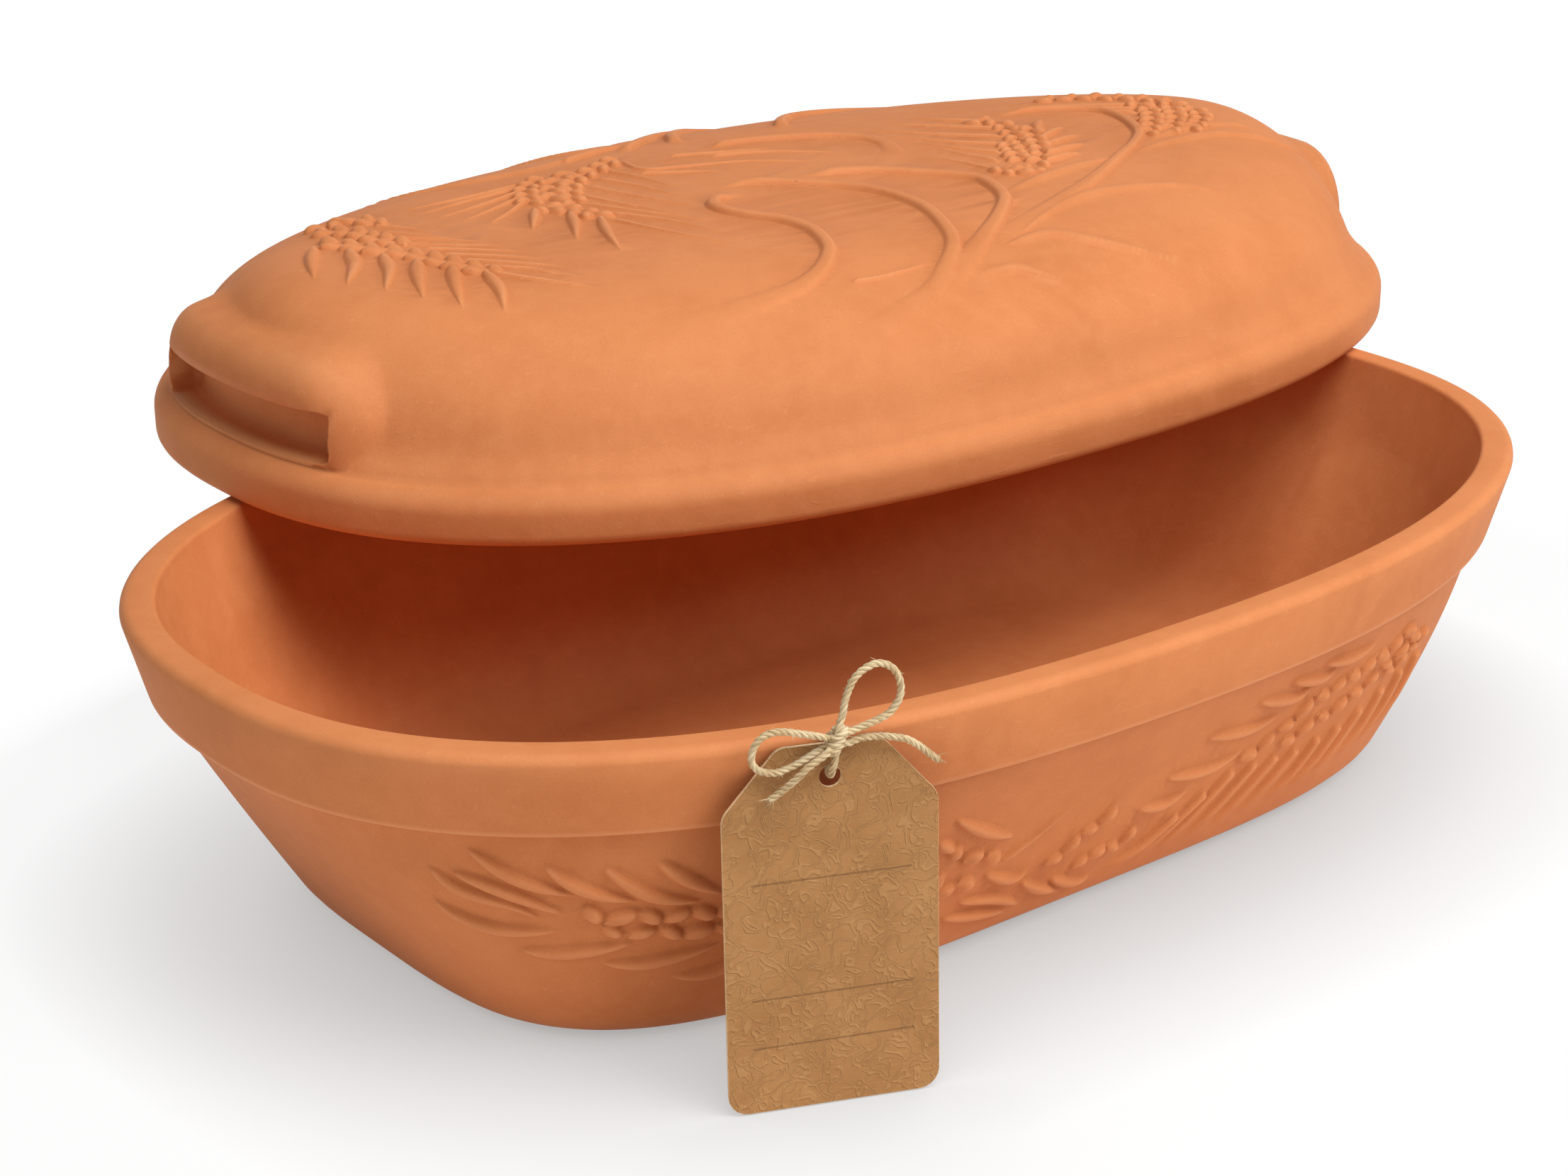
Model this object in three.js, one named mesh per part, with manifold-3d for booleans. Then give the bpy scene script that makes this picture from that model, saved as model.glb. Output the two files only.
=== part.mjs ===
// A covered bread baker of unglazed red clay: an oval bowl, a vaulted lid that lies open across its rim,
// and a card hang tag with a bow of twine that leans on the rim. Millimetres, +Z up.
// The origin is on the table, under the middle of the bowl; X runs along the bowl, and -Y is its front.
import * as THREE from "three";
import { mergeVertices } from "three/addons/utils/BufferGeometryUtils.js";
import Module from "manifold-3d";

const wasm = await Module();
wasm.setup();

// Outline that bowl and lid share: an oval |x/a|^n + |y/b|^n = 1, whose power n makes its ends fuller
const RIM_LENGTH = 380;
const RIM_WIDTH = 240;
const RIM_POWER = 2.4;
const OUTLINE_SEGMENTS = 48;
const ROUND_STEPS = 3;
const FACET_TOLERANCE = 0.02;

// Bowl
const BOWL_HEIGHT = 84;
const RIM_LAND = 7;
const RIM_ROUND = 2.5;
const RIM_INNER_ROUND = 1.2;
const BAND_HEIGHT = 20;
const BAND_DRAFT = 4.5;
const BAND_STEP = 3.5;
const BAND_LEDGE = 1.5;
const FOOT_LENGTH = 286;
const FOOT_WIDTH = 160;
const FOOT_POWER = 3.8;
const FOOT_ROUND = 6;
const BOWL_WALL = 7;
const BOWL_FLOOR = 9;
const FLOOR_ROUND = 12;
const WALL_STEPS = 4;

// Lid, in its own frame with its underside at z = 0
const LID_HEIGHT = 51;
const LID_LAND = 7;
const LID_BAND_HEIGHT = 15;
const LID_BAND_ROUND = 3;
const LID_BAND_SHOULDER = 7;
const DOME_INSET = 8;
const RIDGE_LENGTH = 290;
const DOME_END_POWER = 0.55;
const DOME_SIDE_POWER = 0.45;
const LID_WALL = 7;
const DOME_STEPS = 9;
const DOME_HALVINGS = 40;

// Where the lid lies: level on the rim, pushed back and along
const LID_OPEN_X = 63;
const LID_OPEN_Y = 101;
const SEAT_GAP = 0.3;

// Grip at each end of the lid: a pad with a finger pocket
const GRIP_WIDTH = 98;
const GRIP_BOTTOM = 6;
const GRIP_TOP = 40.5;
const GRIP_INSET = 4;
const GRIP_REACH = 45;
const GRIP_ROUND = 9;
const GRIP_CORNER = 22;
const GRIP_FRONT_STEPS = 8;
const POCKET_WIDTH = 80;
const POCKET_FLOOR = 15.5;
const POCKET_TOP = 28.5;
const POCKET_DEPTH = 8.5;
const POCKET_WALL = 7;
const POCKET_CORNER = 3;

// Relief on bowl and lid: wheat ears with kernels, awns, blades and stalks. It is drawn for an outline and a
// wall of the drawn sizes, and stretches with them.
const DRAWN_LENGTH = 380;
const DRAWN_WIDTH = 240;
const DRAWN_WALL = 62.5;
const RELIEF_DEPTH = 2.5;
const RELIEF_END_DEPTH = 0.5;
const CREST_SHARE = 0.5;
const SLOPE_STEP = 0.3;
const FAN_SHARES = [0, 0.2, 0.5, 0.8, 1];
const KERNEL_HEIGHT = 2.1;
const KERNEL_TILT = THREE.MathUtils.degToRad(30);
const BLADE_WIDTH = 3.6;
const BLADE_HEIGHT = 1.7;
const AWN_WIDTH = 2;
const AWN_HEIGHT = 1.1;
const STEM_WIDTH = 4.2;
const STEM_HEIGHT = 1.6;
const LEAF_WIDTH = 5.2;
const LEAF_HEIGHT = 1.2;
const STALK_WIDTH = 3.4;
const STALK_HEIGHT = 1.3;
const FAR_SLOPE = -52;

// Hang tag: a card with cut top corners, leaning on the rim
const TAG_WIDTH = 47;
const TAG_LENGTH = 82.5;
const TAG_THICKNESS = 0.8;
const TAG_TOP_EDGE = 22.5;
const TAG_CUT = 14;
const TAG_CORNER = 4.5;
const TAG_HOLE_RADIUS = 2.4;
const TAG_HOLE_DROP = 7.4;
const TAG_LEFT_OF_MIDDLE = 101;
const TAG_TURN = THREE.MathUtils.degToRad(6);
const TAG_LEAN = THREE.MathUtils.degToRad(3);
const TAG_LIFT = 0.3;

// Twine of the bow
const TWINE_DIAMETER = 1.6;
const TWINE_SIDES = 8;
const TWINE_STEP = 2.2;
const KNOT_HALF_WIDTH = 1.9;
const KNOT_HALF_HEIGHT = 3.4;
const KNOT_SIDES = 12;
const KNOT_RINGS = 8;
const CLEARANCE = 0.3;

const clay = () => new THREE.MeshStandardMaterial({ color: 0xc97b50, roughness: 0.8, metalness: 0 });
const kraft = () => new THREE.MeshStandardMaterial({ color: 0xc0935f, roughness: 0.9, metalness: 0 });
const jute = () => new THREE.MeshStandardMaterial({ color: 0xd6ba88, roughness: 0.95, metalness: 0 });

// Half length along x of an oval with half axes a and b, at the place y
const ovalReach = (a, b, power, y) => a * Math.pow(1 - Math.pow(Math.abs(y) / b, power), 1 / power);

// The point of an oval ring at an angle
function ovalPoint(ring, angle) {
  const share = (value) => Math.sign(value) * Math.pow(Math.abs(value), 2 / ring.power);
  return [ring.a * share(Math.cos(angle)), ring.b * share(Math.sin(angle)), ring.z];
}

// A ring that lies a given inset inside the shared outline
const insetRing = (inset, z) => ({
  a: RIM_LENGTH / 2 - inset,
  b: RIM_WIDTH / 2 - inset,
  z,
  power: RIM_POWER,
});

// A ring drawn in to the point where a level floor or ceiling closes
const middleRing = (z) => ({ a: 0, b: 0, z, power: 2 });

// A closed body of rings of points: a lathe with a profile point for each ring, drawn out to their points.
// Its first and last rings close it, each drawn in to a point or to a line.
function ringBody(ringCount, sides, pointAt) {
  const profile = Array.from({ length: ringCount }, (_, level) => new THREE.Vector2(1, level));
  const body = new THREE.LatheGeometry(profile, sides);
  const place = body.getAttribute("position");
  for (let i = 0; i < place.count; i++) {
    place.setXYZ(i, ...pointAt(i % ringCount, Math.floor(i / ringCount) % sides));
  }
  return body;
}

// A body whose level sections are ovals
const ovalBody = (rings) =>
  ringBody(rings.length, OUTLINE_SEGMENTS, (level, side) =>
    ovalPoint(rings[level], (2 * Math.PI * side) / OUTLINE_SEGMENTS),
  );

// A closed geometry as a solid for joining and cutting, and a solid as a geometry again
function solidOf(geometry) {
  const bare = geometry.clone();
  bare.deleteAttribute("normal");
  bare.deleteAttribute("uv");
  const merged = mergeVertices(bare, 1e-4);
  return new wasm.Manifold(
    new wasm.Mesh({
      numProp: 3,
      vertProperties: new Float32Array(merged.getAttribute("position").array),
      triVerts: new Uint32Array(merged.index.array),
    }),
  );
}
function geometryOf(solid) {
  const mesh = solid.simplify(FACET_TOLERANCE).getMesh();
  const geometry = new THREE.BufferGeometry();
  geometry.setAttribute("position", new THREE.BufferAttribute(new Float32Array(mesh.vertProperties), 3));
  geometry.setIndex(new THREE.BufferAttribute(new Uint32Array(mesh.triVerts), 1));
  geometry.computeVertexNormals();
  return geometry;
}

function namedMesh(name, geometry, material) {
  const mesh = new THREE.Mesh(geometry, material);
  mesh.name = name;
  return mesh;
}

// A ridge of relief along a line of the drawing: low, with a flat crest, sunk into the surface that place()
// puts its points on, and drawn in to a point at each end
function ridge(line, width, height, place) {
  const sections = line.map(([u, v], number) => {
    const middle = place(u, v);
    const along = place(...line[Math.min(number + 1, line.length - 1)]);
    along.sub(place(...line[Math.max(number - 1, 0)]));
    const slopeU = place(u + SLOPE_STEP, v).sub(place(u - SLOPE_STEP, v));
    const slopeV = place(u, v + SLOPE_STEP).sub(place(u, v - SLOPE_STEP));
    const outward = slopeU.cross(slopeV).normalize();
    const across = along.cross(outward).normalize();
    const corner = (side, up) => middle.clone().addScaledVector(across, side).addScaledVector(outward, up);
    if (number === 0 || number === line.length - 1) return Array(4).fill(corner(0, -RELIEF_END_DEPTH));
    const half = width / 2;
    return [
      corner(-half * CREST_SHARE, height),
      corner(half * CREST_SHARE, height),
      corner(half, -RELIEF_DEPTH),
      corner(-half, -RELIEF_DEPTH),
    ];
  });
  return solidOf(ringBody(sections.length, 4, (level, side) => sections[level][side].toArray()));
}

const drawnCurve = (points) => new THREE.SplineCurve(points.map(([u, v]) => new THREE.Vector2(u, v)));

// How a row of kernels and a fan of ridges are drawn
const row = (count, length, width, line) => ({ count, length, width, line });
const fan = (count, from, to) => ({ count, from, to });

// Kernels of an ear along a line, leaning to one side and the other in turn
function kernelRow({ line, count, length, width }, place) {
  const curve = drawnCurve(line);
  return Array.from({ length: count }, (_, number) => {
    const share = (number + 0.5) / count;
    const middle = curve.getPointAt(share);
    const lean = number % 2 ? KERNEL_TILT : -KERNEL_TILT;
    const half = curve.getTangentAt(share).rotateAround(new THREE.Vector2(), lean).setLength(length / 2);
    const ends = [middle.clone().sub(half), middle, middle.clone().add(half)];
    return ridge(ends.map((point) => point.toArray()), width, KERNEL_HEIGHT, place);
  });
}

// Straight ridges spread between two lines
function ridgeFan({ from, to, count }, width, height, place) {
  const starts = drawnCurve(from);
  const ends = drawnCurve(to);
  return Array.from({ length: count }, (_, number) => {
    const start = starts.getPointAt(number / (count - 1));
    const end = ends.getPointAt(number / (count - 1));
    const line = FAN_SHARES.map((share) => start.clone().lerp(end, share).toArray());
    return ridge(line, width, height, place);
  });
}

// Bowl: foot, straight sloping wall, tapered rim band with its ledge, flat land, and the hollow inside
const BAND_FOOT = BOWL_HEIGHT - BAND_HEIGHT;
const WALL_TOP = BAND_FOOT - BAND_LEDGE;
const WALL_TOP_INSET = BAND_DRAFT + BAND_STEP;

// A ring of the straight wall at a height between the foot and the band's ledge, drawn in by a thickness
function wallRing(z, thickness) {
  const level = z / WALL_TOP;
  const between = (foot, top) => foot + (top - foot) * level;
  return {
    a: between(FOOT_LENGTH / 2, RIM_LENGTH / 2 - WALL_TOP_INSET) - thickness,
    b: between(FOOT_WIDTH / 2, RIM_WIDTH / 2 - WALL_TOP_INSET) - thickness,
    z,
    power: between(FOOT_POWER, RIM_POWER),
  };
}

// The wall from the flat floor up to the ledge, with a rounded edge between floor and wall
function wallRings(floorZ, round, thickness) {
  const roundOff = round * (1 - Math.SQRT1_2);
  const rings = [
    wallRing(floorZ, thickness + round),
    wallRing(floorZ + roundOff, thickness + roundOff),
  ];
  for (let step = 0; step <= WALL_STEPS; step++) {
    const foot = floorZ + round;
    rings.push(wallRing(foot + ((WALL_TOP - foot) * step) / WALL_STEPS, thickness));
  }
  return rings;
}

// The bowl's relief, drawn on its front: along the bowl and up its wall
const BOWL_ROWS = [
  row(14, 6.4, 4.6, [[-140, 42], [-134, 40.1], [-116, 38.4], [-98, 37.5], [-80, 37], [-64, 37]]),
  row(12, 6.2, 4.4, [[-136, 36.4], [-122, 34], [-104, 32], [-84, 31], [-66, 31]]),
  row(3, 6.6, 5.6, [[-58, 40], [-46, 33.5], [-38, 31]]),
  row(3, 6.8, 5.4, [[-58, 32], [-53, 25.6], [-44, 26]]),
  row(4, 6.4, 4.6, [[-20, 20.6], [-15, 24.6], [-9, 29], [-3, 32.8]]),
  row(4, 6, 4.6, [[-8, 14.6], [-5, 18.3], [5, 18.1], [9, 23]]),
  row(11, 6.6, 4.8, [[38, 32.8], [46, 36], [52, 39.6], [59, 44.4], [73, 46.8], [89, 49.2], [100, 53]]),
  row(9, 6, 4.4, [[53, 31.9], [61, 35], [73, 37.4], [83, 40.5], [97, 45.8], [106, 49]]),
  row(4, 5.6, 4.2, [[92, 40], [102, 43], [112, 47]]),
];
const BOWL_BLADES = [
  [[-164, 52.1], [-159, 46.8], [-151, 43.4], [-146, 39.6]],
  [[-161, 51.6], [-152, 46.8], [-142, 40.8]],
  [[-160, 58.6], [-154, 52.8], [-148, 49], [-141, 46.3]],
  [[-161, 42], [-157, 38.4], [-151, 35.7], [-142, 36]],
  [[-148, 54.8], [-143, 50], [-137, 46.3], [-130, 43.9]],
  [[-138, 54.1], [-132, 48.5], [-126, 44.4], [-117, 41.7]],
  [[-128, 54.3], [-121, 48.5], [-113, 43.2]],
  [[-112, 53], [-104, 47], [-94, 42]],
  [[-96, 52], [-88, 46.5], [-78, 41.5]],
  [[-147, 29.9], [-142, 29.4], [-135, 30.4], [-128, 31.9]],
  [[-133, 26.1], [-126, 25.3], [-119, 26.3], [-110, 28.2]],
  [[-118, 19.8], [-112, 19.3], [-107, 20.5], [-98, 25]],
  [[-102, 17], [-94, 18], [-84, 24]],
  [[-59, 49.2], [-48, 42], [-37, 36.4]],
  [[-41, 26.1], [-30, 20.5], [-25, 21.5]],
  [[-46, 19.1], [-34, 15.9], [-22, 9]],
  [[-49, 15], [-38, 12.1], [-26, 8.5]],
  [[-62, 43.4], [-58.5, 41], [-55, 38.6]],
  [[-26, 17.9], [-17, 12.1], [-9, 8.5]],
  [[-15, 14.7], [-5, 9.5], [1, 9]],
  [[6, 29], [15, 27.5], [23, 29.7]],
  [[11, 36.9], [26, 34.7], [38, 36.4]],
  [[19, 46.8], [35, 44.2], [46, 44.9]],
  [[33, 53.1], [49, 49], [55, 51.9]],
  [[44, 55.5], [58, 51.9], [63, 53.3]],
  [[56, 56.7], [69, 54.5], [79, 55.5]],
];
const BOWL_STALK = [[-37, 28.5], [-29, 33.3], [-23, 38.1], [-17, 41.3]];
const BOWL_STALKS = fan(
  12,
  [[24, 21.2], [39, 31.1], [64, 28.2], [82, 29.4], [98, 36], [112, 40]],
  [[6, 8], [20, 8], [45, 8.5], [70, 10.6], [96, 14], [110, 16]],
);

function onWall(along, up) {
  const { a, b, z, power } = wallRing((up * WALL_TOP) / DRAWN_WALL, 0);
  const x = (along * RIM_LENGTH) / DRAWN_LENGTH;
  return new THREE.Vector3(x, -ovalReach(b, a, power, Math.min(Math.abs(x), a)), z);
}

function bowlRelief() {
  const relief = wasm.Manifold.union([
    ...BOWL_ROWS.flatMap((kernels) => kernelRow(kernels, onWall)),
    ...BOWL_BLADES.map((line) => ridge(line, BLADE_WIDTH, BLADE_HEIGHT, onWall)),
    ridge(BOWL_STALK, AWN_WIDTH, AWN_HEIGHT, onWall),
    ...ridgeFan(BOWL_STALKS, STALK_WIDTH, STALK_HEIGHT, onWall),
  ]);
  return relief.add(relief.rotate([0, 0, 180]));
}

function bowlGeometry() {
  const roundOff = RIM_ROUND * (1 - Math.SQRT1_2);
  const rim = [
    insetRing(BAND_DRAFT, BAND_FOOT),
    insetRing(0, BOWL_HEIGHT - RIM_ROUND),
    insetRing(roundOff, BOWL_HEIGHT - roundOff),
    insetRing(RIM_ROUND, BOWL_HEIGHT),
    insetRing(RIM_LAND, BOWL_HEIGHT),
    insetRing(RIM_LAND + RIM_INNER_ROUND, BOWL_HEIGHT - RIM_INNER_ROUND),
  ];
  const outside = wallRings(0, FOOT_ROUND, 0);
  const inside = wallRings(BOWL_FLOOR, FLOOR_ROUND, BOWL_WALL).reverse();
  const bowl = ovalBody([middleRing(0), ...outside, ...rim, ...inside, middleRing(BOWL_FLOOR)]);
  return geometryOf(solidOf(bowl).add(bowlRelief()));
}

// Lid: the vault is a quarter of an oval curve in every direction, and closes on a ridge along its length
function domeRing(angle, inset, footZ, topZ, ridgeLength) {
  const spread = angle < Math.PI / 2 ? Math.cos(angle) : 0;
  const rise = Math.sin(angle);
  return {
    a: ridgeLength / 2 + (RIM_LENGTH / 2 - inset - ridgeLength / 2) * Math.pow(spread, DOME_END_POWER),
    b: (RIM_WIDTH / 2 - inset) * Math.pow(spread, DOME_SIDE_POWER),
    z: footZ + (topZ - footZ) * rise,
    power: RIM_POWER + (2 - RIM_POWER) * rise,
  };
}
function domeRings(...sizes) {
  const ringAt = (share) => domeRing((Math.PI / 2) * share, ...sizes);
  return Array.from({ length: DOME_STEPS + 1 }, (_, step) => ringAt(step / DOME_STEPS));
}
const DOME_SIZES = [DOME_INSET, LID_BAND_HEIGHT, LID_HEIGHT, RIDGE_LENGTH];

// Rings along a quarter turn, from its start up to but not including its end
const quarterTurn = (ringAt) =>
  Array.from({ length: ROUND_STEPS }, (_, step) => ringAt((Math.PI / 2) * (step / ROUND_STEPS)));

// The lid's outside as one solid, and the hollow under it, which runs on below the lid
function lidOutside() {
  const lowerEdge = quarterTurn((turn) =>
    insetRing(LID_BAND_ROUND * (1 - Math.sin(turn)), LID_BAND_ROUND * (1 - Math.cos(turn))),
  );
  const shoulder = quarterTurn((turn) =>
    insetRing(DOME_INSET * (1 - Math.cos(turn)), LID_BAND_HEIGHT - LID_BAND_SHOULDER * (1 - Math.sin(turn))),
  );
  const dome = domeRings(...DOME_SIZES);
  return ovalBody([middleRing(0), ...lowerEdge, insetRing(0, LID_BAND_ROUND), ...shoulder, ...dome]);
}
function lidHollow() {
  const mouth = LID_BAND_ROUND + LID_LAND;
  const springZ = LID_BAND_HEIGHT - LID_BAND_SHOULDER;
  const vault = domeRings(DOME_INSET + LID_WALL, springZ, LID_HEIGHT - LID_WALL, RIDGE_LENGTH - LID_WALL);
  return ovalBody([middleRing(-LID_LAND), insetRing(mouth, -LID_LAND), insetRing(mouth, 0), ...vault]);
}

// A shape drawn as the lid's +X end is seen, with the height up, drawn out along X between two places
function endExtrude(shape, fromX, toX) {
  const body = new THREE.ExtrudeGeometry(shape, {
    depth: toX - fromX,
    bevelEnabled: false,
    curveSegments: ROUND_STEPS,
  });
  return body.rotateX(Math.PI / 2).rotateZ(Math.PI / 2).translate(fromX, 0, 0);
}

// A level slice through the lid, with its outline drawn in by an inset
const outlineSlice = (inset, lowZ, highZ) =>
  ovalBody([middleRing(lowZ), insetRing(inset, lowZ), insetRing(inset, highZ), middleRing(highZ)]);

// The grip's pad at the +X end: its front follows the outline, its top edge and its upper corners are
// rounded, and its back is in the dome
function gripPad() {
  const front = insetRing(GRIP_INSET, 0);
  const halfWidth = GRIP_WIDTH / 2;
  const backX = RIM_LENGTH / 2 - GRIP_REACH;
  const plan = new THREE.Shape();
  plan.moveTo(backX, -halfWidth);
  for (let step = 0; step <= GRIP_FRONT_STEPS; step++) {
    const y = -halfWidth + (GRIP_WIDTH * step) / GRIP_FRONT_STEPS;
    plan.lineTo(ovalReach(front.a, front.b, front.power, y), y);
  }
  plan.lineTo(backX, halfWidth);
  plan.closePath();
  const pad = new THREE.ExtrudeGeometry(plan, {
    depth: GRIP_TOP - GRIP_BOTTOM - 2 * GRIP_ROUND,
    bevelThickness: GRIP_ROUND,
    bevelSize: GRIP_ROUND,
    bevelOffset: -GRIP_ROUND,
    bevelSegments: ROUND_STEPS,
  });
  pad.translate(0, 0, GRIP_BOTTOM + GRIP_ROUND);
  const face = new THREE.Shape();
  face.moveTo(-halfWidth, GRIP_BOTTOM);
  face.lineTo(halfWidth, GRIP_BOTTOM);
  face.absarc(halfWidth - GRIP_CORNER, GRIP_TOP - GRIP_CORNER, GRIP_CORNER, 0, Math.PI / 2);
  face.absarc(GRIP_CORNER - halfWidth, GRIP_TOP - GRIP_CORNER, GRIP_CORNER, Math.PI / 2, Math.PI);
  face.closePath();
  return solidOf(pad).intersect(solidOf(endExtrude(face, backX - 1, RIM_LENGTH / 2)));
}

// The finger pocket at the +X end, open towards the end, whose back follows the grip's face. With a wall it
// is the clay that houses the pocket.
function gripPocket(wall) {
  const side = POCKET_WIDTH / 2 - POCKET_CORNER;
  const low = POCKET_FLOOR + POCKET_CORNER;
  const high = POCKET_TOP - POCKET_CORNER;
  const corner = POCKET_CORNER + wall;
  const mouth = new THREE.Shape();
  mouth.absarc(side, high, corner, 0, Math.PI / 2);
  mouth.absarc(-side, high, corner, Math.PI / 2, Math.PI);
  mouth.absarc(-side, low, corner, Math.PI, 1.5 * Math.PI);
  mouth.absarc(side, low, corner, 1.5 * Math.PI, 2 * Math.PI);
  const reach = solidOf(endExtrude(mouth, RIM_LENGTH / 2 - GRIP_REACH, RIM_LENGTH / 2 + corner));
  return reach.subtract(solidOf(outlineSlice(GRIP_INSET + POCKET_DEPTH + wall, -corner, GRIP_TOP + corner)));
}

// The lid's relief, drawn from above in the lid's own frame
const LID_ROWS = [
  row(10, 7.6, 5.2, [[-122, -28], [-126, -15], [-130, 1], [-135, 12], [-141, 26]]),
  row(6, 7, 5, [[-126, 10], [-128, 19], [-129, 29], [-133, 38]]),
  row(5, 6.6, 4.8, [[-119, 32], [-120, 44], [-126, 46], [-134, 42]]),
  row(9, 6.4, 4.6, [[-27, 52], [-39, 45], [-51, 38], [-58, 31], [-65, 20], [-68, 14]]),
  row(5, 8, 5.6, [[-47, 46], [-56, 40], [-64, 31], [-70, 21]]),
  row(6, 6.4, 4.6, [[-57, 46], [-67, 39], [-73, 30], [-77, 22]]),
  row(5, 6.6, 5, [[-78, 18], [-74, 14], [-71, 8], [-70, -1]]),
  row(8, 6.6, 4.8, [[81, 22], [87, 17], [84, 7], [76, -7], [67, -20]]),
  row(7, 6.4, 4.6, [[90, 3], [80, -10], [72, -21], [60, -32]]),
  row(4, 6.4, 4.8, [[71, -8], [65, -17], [60, -25]]),
  row(4, 6, 4.4, [[48, -28], [50, -34], [57, -36]]),
  row(8, 6.4, 4.6, [[118, 31], [130, 26], [140, 16], [146, 5], [145, -4]]),
  row(7, 6.6, 4.8, [[138, 8], [134, -3], [123, -15], [111, -25]]),
  row(6, 6.4, 4.6, [[143, -3], [132, -16], [119, -26]]),
  row(6, 6, 4.4, [[147, -8], [140, -19], [126, -28]]),
];
const LID_AWNS = [
  fan(
    9,
    [[-121, 32], [-125, 20], [-126, 11], [-124, -2], [-122, -16], [-122, -28]],
    [[-113, 16], [-112, 7], [-105, -5], [-104, -18], [-104, -34], [-106, -51]],
  ),
  fan(
    7,
    [[-38, 42], [-52, 31], [-60, 24], [-65, 16], [-68, 5], [-69, -4]],
    [[-34, 16], [-38, 9], [-41, -5], [-51, -7], [-48, -21], [-57, -44]],
  ),
  fan(5, [[-58, 46], [-68, 39], [-76, 27]], [[-107, 43], [-104, 30], [-96, 14]]),
  fan(
    7,
    [[88, 18], [81, 7], [74, -4], [57, -20], [47, -28]],
    [[74, 38], [54, 35], [51, 20], [53, 4], [44, -3]],
  ),
  fan(3, [[136, 6], [130, -2]], [[116, 26], [112, 20]]),
];
const LID_SPIKES = [
  fan(
    6,
    [[-149, 16], [-144, 11], [-142, 0], [-137, -4], [-132, -13], [-127, -28]],
    [[-159, -4], [-156, -13], [-151, -22], [-146, -28], [-142, -39], [-132, -49]],
  ),
  fan(3, [[-82, 15], [-77, 8], [-74, -2]], [[-91, 1], [-88, -14], [-85, -31]]),
  fan(5, [[90, 0], [82, -12], [76, -20], [66, -30]], [[101, 10], [99, -4], [93, -18], [81, -28]]),
];
const LID_STEMS = [
  [
    [-27, -3], [-34, -5], [-39, -10], [-40, -17], [-38, -25], [-34, -35], [-34, -46], [-38, -57], [-43, -64],
    [-52, -71], [-62, -75], [-73, -76], [-87, -76], [-101, -74], [-114, -72],
  ],
  [
    [-23, 7], [-15, 4], [-7, -4], [2, -16], [6, -29], [5, -45], [-1, -61], [-8, -73], [-18, -82], [-28, -89],
    [-41, -93], [-55, -96], [-70, -97], [-86, -97],
  ],
  [
    [3, 2], [18, -6], [28, -18], [36, -31], [35, -40], [29, -52], [17, -63], [1, -74], [-12, -82], [-28, -90],
    [-44, -96], [-59, -99],
  ],
  [
    [96, 24], [111, 20], [122, 10], [122, -2], [113, -19], [102, -29], [87, -38], [64, -51], [39, -62],
    [19, -70], [4, -75],
  ],
  [[4, 48], [17, 45], [31, 39], [42, 30], [45, 20], [41, 9], [35, 3]],
];
const LID_LINES = [
  [[-27, 51], [-29, 37], [-19, 32], [-1, 26], [15, 14]],
  [[-14, 45], [2, 39], [16, 34]],
  [[-5, 37], [11, 31], [27, 18]],
  [[-33, 33], [-23, 27], [-12, 21]],
  [[-48, -79], [-37, -80], [-22, -79]],
];
const LID_LEAVES = [
  [[96, -36], [112, -34], [129, -34], [141, -38], [152, -42], [163, -42]],
  [[109, -28], [130, -25], [145, -28], [149, -34]],
  [[14, -75], [32, -67], [51, -61], [69, -62], [83, -65], [92, -70], [99, -76]],
  [[5, -79], [21, -78], [31, -85], [41, -91], [52, -96]],
  [[-12, -88], [-1, -89], [5, -93], [9, -97]],
  [[36, -47], [57, -41], [76, -38], [85, -38]],
];

// A point of the drawing on the dome: the height of the ring that passes over it, found by halving
function onDome(along, back) {
  const x = (along * RIM_LENGTH) / DRAWN_LENGTH;
  const y = (back * RIM_WIDTH) / DRAWN_WIDTH;
  let low = 0;
  let high = Math.PI / 2;
  for (let halving = 0; halving < DOME_HALVINGS; halving++) {
    const angle = (low + high) / 2;
    const { a, b, power } = domeRing(angle, ...DOME_SIZES);
    const inside = Math.pow(Math.abs(x) / a, power) + Math.pow(Math.abs(y) / b, power) < 1;
    if (inside) low = angle;
    else high = angle;
  }
  return new THREE.Vector3(x, y, domeRing(low, ...DOME_SIZES).z);
}

// What the drawing has of stems and leaves on the near slope is repeated on the far one, turned half round
function lidRelief() {
  const stems = (lines) => lines.map((line) => ridge(line, STEM_WIDTH, STEM_HEIGHT, onDome));
  const leaves = (lines) => lines.map((line) => ridge(line, LEAF_WIDTH, LEAF_HEIGHT, onDome));
  const nearSlope = (lines) =>
    lines.map((line) => line.filter(([, back]) => back < FAR_SLOPE)).filter((line) => line.length > 2);
  const repeated = wasm.Manifold.union([...stems(nearSlope(LID_STEMS)), ...leaves(nearSlope(LID_LEAVES))]);
  return wasm.Manifold.union([
    ...LID_ROWS.flatMap((kernels) => kernelRow(kernels, onDome)),
    ...LID_AWNS.flatMap((awns) => ridgeFan(awns, AWN_WIDTH, AWN_HEIGHT, onDome)),
    ...LID_SPIKES.flatMap((spikes) => ridgeFan(spikes, BLADE_WIDTH, BLADE_HEIGHT, onDome)),
    ...LID_LINES.map((line) => ridge(line, AWN_WIDTH, AWN_HEIGHT, onDome)),
    ...stems(LID_STEMS),
    ...leaves(LID_LEAVES),
    repeated.rotate([0, 0, 180]),
  ]);
}

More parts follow.
